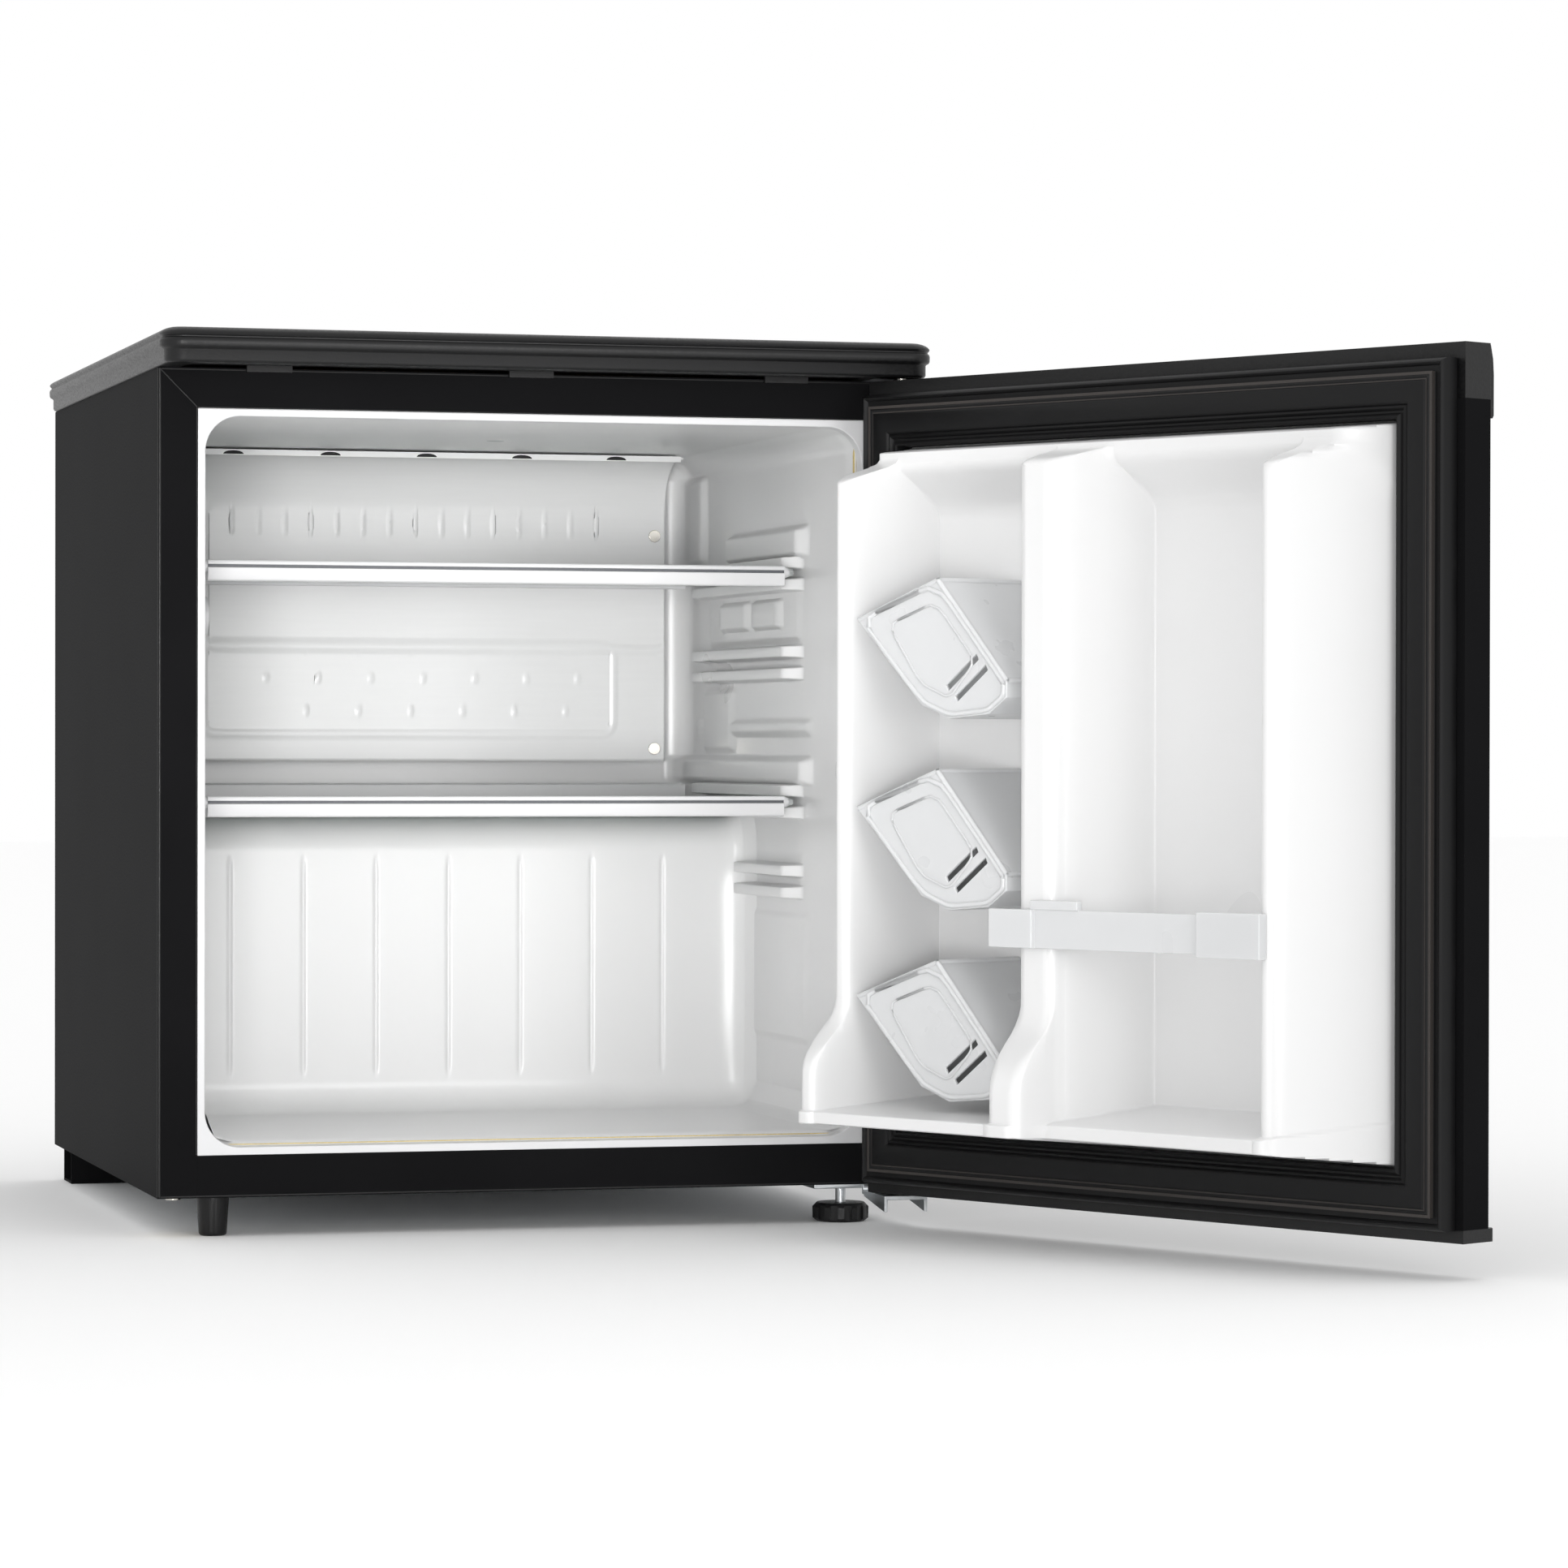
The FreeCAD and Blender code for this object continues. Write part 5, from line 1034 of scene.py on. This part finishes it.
class FRIDGE_OT_door_liner(bpy.types.Operator):
    """Makes the vacuum-formed door liner with its two bays, and the foam behind it"""

    bl_idname = "fridge.door_liner"
    bl_label = "Door liner"

    def execute(self, context):
        """A height field over the closed door, with its lines gathered at the walls, swung
        open about the hinge pin. The foam fills the space behind it."""
        edges = (-183, -153, -145, -140, -10, 2, 30, 38, 156, 160, 172, 183)
        x = np.unique(
            np.concatenate(
                [
                    gathered(-211.5, 211.5, 5, edges, reach=2.5, count=11),
                    gathered(-211.5, 211.5, 900, (-149, 166, 4, 28), reach=8, count=25),
                ]
            )
        )
        ends = (BIN_LOW, BIN_LOW + 8, BIN_LOW + 16, BIN_LOW + 24, 430, 435.5, 445.5, BIN_HIGH)
        z = np.unique(
            np.concatenate(
                [
                    gathered(27.5, 481.5, 5, ends, reach=4, count=15),
                    gathered(27.5, 481.5, 900, (BIN_LOW + 11,), reach=8, count=25),
                ]
            )
        )
        x, z = np.meshgrid(x, z, indexing="ij")
        points = swung(np.stack([x, door_height(x, z), z], axis=-1))
        mesh = mesh_of("door_liner_formed", (points, False, False))
        stand_for(shown("door_liner_formed", mesh, 55), "door_liner")
        filled = z[0] < FOAM_HIGH
        core = np.stack([x, door_height(x, z) - 2.2, z], axis=-1)[:, filled]
        core = np.pad(core, ((1, 1), (1, 1), (0, 0)), mode="edge")
        core[[0, -1], :, 1] = FOAM_BACK_Y
        core[:, [0, -1], 1] = FOAM_BACK_Y
        rows, columns = core.shape[:2]
        numbers = np.arange(rows * columns).reshape(rows, columns)
        rim = [*numbers[0, :-1], *numbers[:-1, -1], *numbers[-1, :0:-1], *numbers[:0:-1, 0]]
        mesh = mesh_of("door_foam_filled", (swung(core), False, False), caps=[map(int, rim)])
        outward(mesh)
        stand_for(shown("door_foam_filled", mesh, 55), "door_foam")
        return {"FINISHED"}


# Can holder seen from the cabinet with the door closed: X and Z of its outline.
HOLDER_OUTLINE = np.array(
    [(155.5, 328), (92, 349), (38.5, 292), (38.5, 283), (52, 274), (82, 271.5), (104, 279)], float
)
HOLDER_PITCH = 105.7
HOLDER_FRONT_Y = -152.5


def shrunk(outline, inset):
    """A convex outline moved inward by a distance, corner by corner."""
    before, after = np.roll(outline, 1, axis=0), np.roll(outline, -1, axis=0)
    first = (outline - before) / np.linalg.norm(outline - before, axis=1, keepdims=True)
    second = (after - outline) / np.linalg.norm(after - outline, axis=1, keepdims=True)
    inward = np.column_stack([-first[:, 1], first[:, 0]])
    inward = inward + np.column_stack([-second[:, 1], second[:, 0]])
    inward /= 1 + (first * second).sum(axis=1, keepdims=True)
    return outline + inward * inset


def rounded(outline, passes=2):
    """Cuts the corners of a closed outline over and over, which rounds them."""
    for _ in range(passes):
        after = np.roll(outline, -1, axis=0)
        outline = np.stack([0.88 * outline + 0.12 * after, 0.12 * outline + 0.88 * after], 1)
        outline = outline.reshape(-1, 2)
    return outline


class FRIDGE_OT_holder_beads(bpy.types.Operator):
    """Makes the beaded rims and raised borders of the can holders"""

    bl_idname = "fridge.holder_beads"
    bl_label = "Can holder beads"

    def execute(self, context):
        """Round beads follow the outline, an inner panel and the open upper edges."""
        for step, level in enumerate(("upper", "middle", "lower")):
            shift = np.array([0.0, 22.5 - step * HOLDER_PITCH])
            outline = HOLDER_OUTLINE + shift
            panel = np.array([(130, 324), (93, 336), (62, 303), (82, 283), (104, 291)]) + shift
            loops = ((rounded(shrunk(outline, 2.2)), 1.5), (rounded(panel), 0.8))
            grids = []
            for loop, radius in loops:
                path = np.insert(loop, 1, HOLDER_FRONT_Y, axis=1)
                grids.append((swung(tube(np.concatenate([path, path[:2]]), radius)), False, True))
            (ax, az), (bx, bz), (cx, cz) = outline[:3]
            front, back = HOLDER_FRONT_Y - 1.2, -218.5
            rims = (
                [(ax - 2, front, az - 1), (bx, front, bz - 1)],
                [(bx, front, bz - 1), (cx + 1, front, cz)],
                [(bx, front, bz - 1), (bx, back, bz - 1)],
                [(ax - 2, front, az - 1), (ax - 2, back, az - 1)],
                [(cx + 1, front, cz), (cx + 1, back, cz)],
            )
            grids += [(swung(tube(rim, 1.7)), False, True) for rim in rims]
            mesh = mesh_of(f"holder_beads_{level}", *grids)
            outward(mesh)
            node_name = f"can_dispenser_{level}"
            piece = shown(f"holder_beads_{level}", mesh, 60)
            added(piece, BODY_OF[node_name], SLOT_OF[node_name])
        return {"FINISHED"}


# Gasket from its inner lip to its outer lip: place across it, height below the sealing face.
GASKET_PROFILE = np.array(
    [(0, 13.4), (0, 2.6), (0.4, 1.0), (1.3, 0.5), (2.2, 1.2), (3.2, 2.6), (4.4, 2.6), (5.1, 1.2)]
    + [(5.8, 0.5), (6.6, 0.8), (7.3, 1.6), (8.2, 0.5), (9.0, 0.0), (18.6, 0.0), (19.4, 0.5)]
    + [(20.0, 1.6), (20.8, 0.9), (21.6, 0.6), (22.4, 1.2), (23.2, 2.9), (24.2, 4.0), (27.0, 4.0)]
    + [(27.8, 2.9), (28.8, 2.2), (29.8, 2.8), (30.4, 4.2), (31, 6.0), (31, 13.4)]
)
SEAL_FACE_Y = -212.7


class FRIDGE_OT_gasket(bpy.types.Operator):
    """Makes the ribbed door gasket with its welded mitres"""

    bl_idname = "fridge.gasket"
    bl_label = "Gasket"

    def execute(self, context):
        """The profile is carried round a rectangle and mitred at its four corners."""
        corners = (
            (-215, 26.5, 1, 1),
            (215, 26.5, -1, 1),
            (215, 481.5, -1, -1),
            (-215, 481.5, 1, -1),
        )
        inset = 31 - GASKET_PROFILE[::-1, 0]
        y = SEAL_FACE_Y - GASKET_PROFILE[::-1, 1]
        rows = [
            np.column_stack([x + inward_x * inset, y, z + inward_z * inset])
            for x, z, inward_x, inward_z in corners
        ]
        mesh = mesh_of("gasket_extruded", (swung(np.stack(rows)), True, True))
        outward(mesh)
        stand_for(shown("gasket_extruded", mesh, 40), "door_gasket")
        return {"FINISHED"}


# ---------------------------------------------------------------- operators


class FRIDGE_OT_finishes(bpy.types.Operator):
    """Makes every material and gives each CAD node the finish of its slot"""

    bl_idname = "fridge.finishes"
    bl_label = "Finishes"

    def execute(self, context):
        FINISHES.update(make_finishes(context.scene.fridge_colours))
        for name, piece in frame["nodes"].items():
            piece.data.materials.clear()
            piece.data.materials.append(FINISHES[SLOT_OF[name]])
        return {"FINISHED"}


EASED = {
    "mouth_trim": 0.8,
    "can_dispenser_upper": 0.6,
    "can_dispenser_middle": 0.6,
    "can_dispenser_lower": 0.6,
    "upper_shelf_glass": 0.5,
    "lower_shelf_glass": 0.5,
    "bottom_front_rail": 0.3,
    "fixed_foot": 0.6,
    "levelling_pad": 0.7,
    "levelling_stud": 0.3,
    "levelling_nut": 0.4,
    "rear_skid": 0.4,
    "rear_bumpers": 1.0,
    "bottom_hinge_bracket": 0.5,
    "top_hinge_plate": 0.4,
    "hinge_bolts": 0.5,
    "door_top_cap": 1.2,
    "door_bottom_cap": 1.2,
    "thermostat_housing": 0.8,
    "thermostat_knob": 0.8,
    "drip_tray": 0.5,
    "relay_cover": 2.0,
    "compressor_bolts": 0.5,
    "compressor_plate": 0.4,
    "evaporator_screws": 0.4,
    "back_panel_screws": 0.5,
    "supply_gland": 0.6,
    "bottle_bar": 1.0,
}


class FRIDGE_OT_small_parts(bpy.types.Operator):
    """Finishes the moulded and pressed parts whose shape needs only rounded edges"""

    bl_idname = "fridge.small_parts"
    bl_label = "Small parts"

    def execute(self, context):
        for cad_node, millimetres in EASED.items():
            eased(cad_node, millimetres)
        return {"FINISHED"}


CAMERA_PLACE = (-0.6826, -3.1746, 0.2787)
CAMERA_YAW = math.radians(15.64)
CAMERA_PITCH = math.radians(-0.41)
CAMERA_ROLL = math.radians(0.10)
CAMERA_LENS_MM = 121.2


def camera_axes():
    """Right, up and back of the camera: yaw from +Y towards +X, then pitch, then roll."""
    forward = np.array(
        [
            math.sin(CAMERA_YAW) * math.cos(CAMERA_PITCH),
            math.cos(CAMERA_YAW) * math.cos(CAMERA_PITCH),
            math.sin(CAMERA_PITCH),
        ]
    )
    level = np.array([math.cos(CAMERA_YAW), -math.sin(CAMERA_YAW), 0.0])
    upright = np.cross(level, forward)
    right = level * math.cos(CAMERA_ROLL) + upright * math.sin(CAMERA_ROLL)
    return right, np.cross(right, forward), -forward


def placed(right, up, back, place):
    """The matrix of an object with these axes at a place."""
    return Matrix([(*column, 0.0) for column in (right, up, back)] + [(*place, 1.0)]).transposed()


def soft_box(name, place, aim, size, watts, spread):
    """A square studio light that faces a point and spreads over an angle in degrees."""
    lamp = bpy.data.lights.new(name, "AREA")
    lamp.shape = "RECTANGLE"
    lamp.size, lamp.size_y = size
    lamp.energy = watts
    lamp.spread = math.radians(spread)
    light = bpy.data.objects.new(name, lamp)
    bpy.context.collection.objects.link(light)
    back = (np.array(place) - np.array(aim)) / np.linalg.norm(np.array(place) - np.array(aim))
    right = np.cross((0, 0, 1), back)
    right /= np.linalg.norm(right)
    up = np.cross(back, right)
    light.matrix_world = placed(right, up, back, place)
    return light


class FRIDGE_OT_stage(bpy.types.Operator):
    """Sets the pale floor, the soft lights and the camera"""

    bl_idname = "fridge.stage"
    bl_label = "Stage"

    def execute(self, context):
        scene = context.scene
        reach = 12.0
        mesh = bpy.data.meshes.new("studio_floor")
        corners = [(-reach, -reach, 0), (reach, -reach, 0), (reach, reach, 0), (-reach, reach, 0)]
        mesh.from_pydata(corners, [], [(0, 1, 2, 3)])
        floor = bpy.data.objects.new("studio_floor", mesh)
        context.collection.objects.link(floor)
        mesh.materials.append(studio_floor_paint(tuple(scene.fridge_colours.floor)))
        world = bpy.data.worlds.new("Pale_studio")
        world.use_nodes = True
        world.node_tree.nodes.clear()
        white = {"Color": (1, 1, 1, 1), "Strength": 1.0}
        sky = node(world.node_tree, "ShaderNodeBackground", white)
        node(world.node_tree, "ShaderNodeOutputWorld", Surface=sky.outputs["Background"])
        scene.world = world
        soft_box("cavity_key", (0.45, -2.6, 0.5), (-0.05, 0.1, 0.28), (0.7, 0.7), 9, 180)
        soft_box("cavity_fill", (-0.42, -1.7, 0.2), (0.07, 0.12, 0.33), (0.5, 0.5), 0.7, 26)
        camera = bpy.data.cameras.new("photo_camera")
        camera.lens = CAMERA_LENS_MM
        camera.clip_end = 100
        holder = bpy.data.objects.new("photo_camera", camera)
        context.collection.objects.link(holder)
        holder.matrix_world = placed(*camera_axes(), CAMERA_PLACE)
        scene.camera = holder
        scene.view_settings.view_transform = "Standard"
        return {"FINISHED"}


class FRIDGE_PT_panel(bpy.types.Panel):
    """Lists the colours and the makers"""

    bl_idname = "FRIDGE_PT_panel"
    bl_label = "Compact fridge"
    bl_space_type = "VIEW_3D"
    bl_region_type = "UI"
    bl_category = "Fridge"

    def draw(self, context):
        colours = context.scene.fridge_colours
        for name in FridgeColours.__annotations__:
            self.layout.prop(colours, name)
        for maker in MAKERS:
            self.layout.operator(maker.bl_idname)


MAKERS = (
    FRIDGE_OT_finishes,
    FRIDGE_OT_small_parts,
    FRIDGE_OT_cabinet_liner,
    FRIDGE_OT_worktop,
    FRIDGE_OT_front_frame,
    FRIDGE_OT_evaporator,
    FRIDGE_OT_shelf_rails,
    FRIDGE_OT_door_liner,
    FRIDGE_OT_gasket,
    FRIDGE_OT_holder_beads,
    FRIDGE_OT_stage,
)
CLASSES = (FridgeColours, *MAKERS, FRIDGE_PT_panel)


def register():
    for made in CLASSES:
        bpy.utils.register_class(made)
    bpy.types.Scene.fridge_colours = bpy.props.PointerProperty(type=FridgeColours)


def unregister():
    del bpy.types.Scene.fridge_colours
    for made in reversed(CLASSES):
        bpy.utils.unregister_class(made)


def main():
    register()
    for maker in MAKERS:
        family, name = maker.bl_idname.split(".")
        getattr(getattr(bpy.ops, family), name)()


if __name__ == "__main__":
    main()
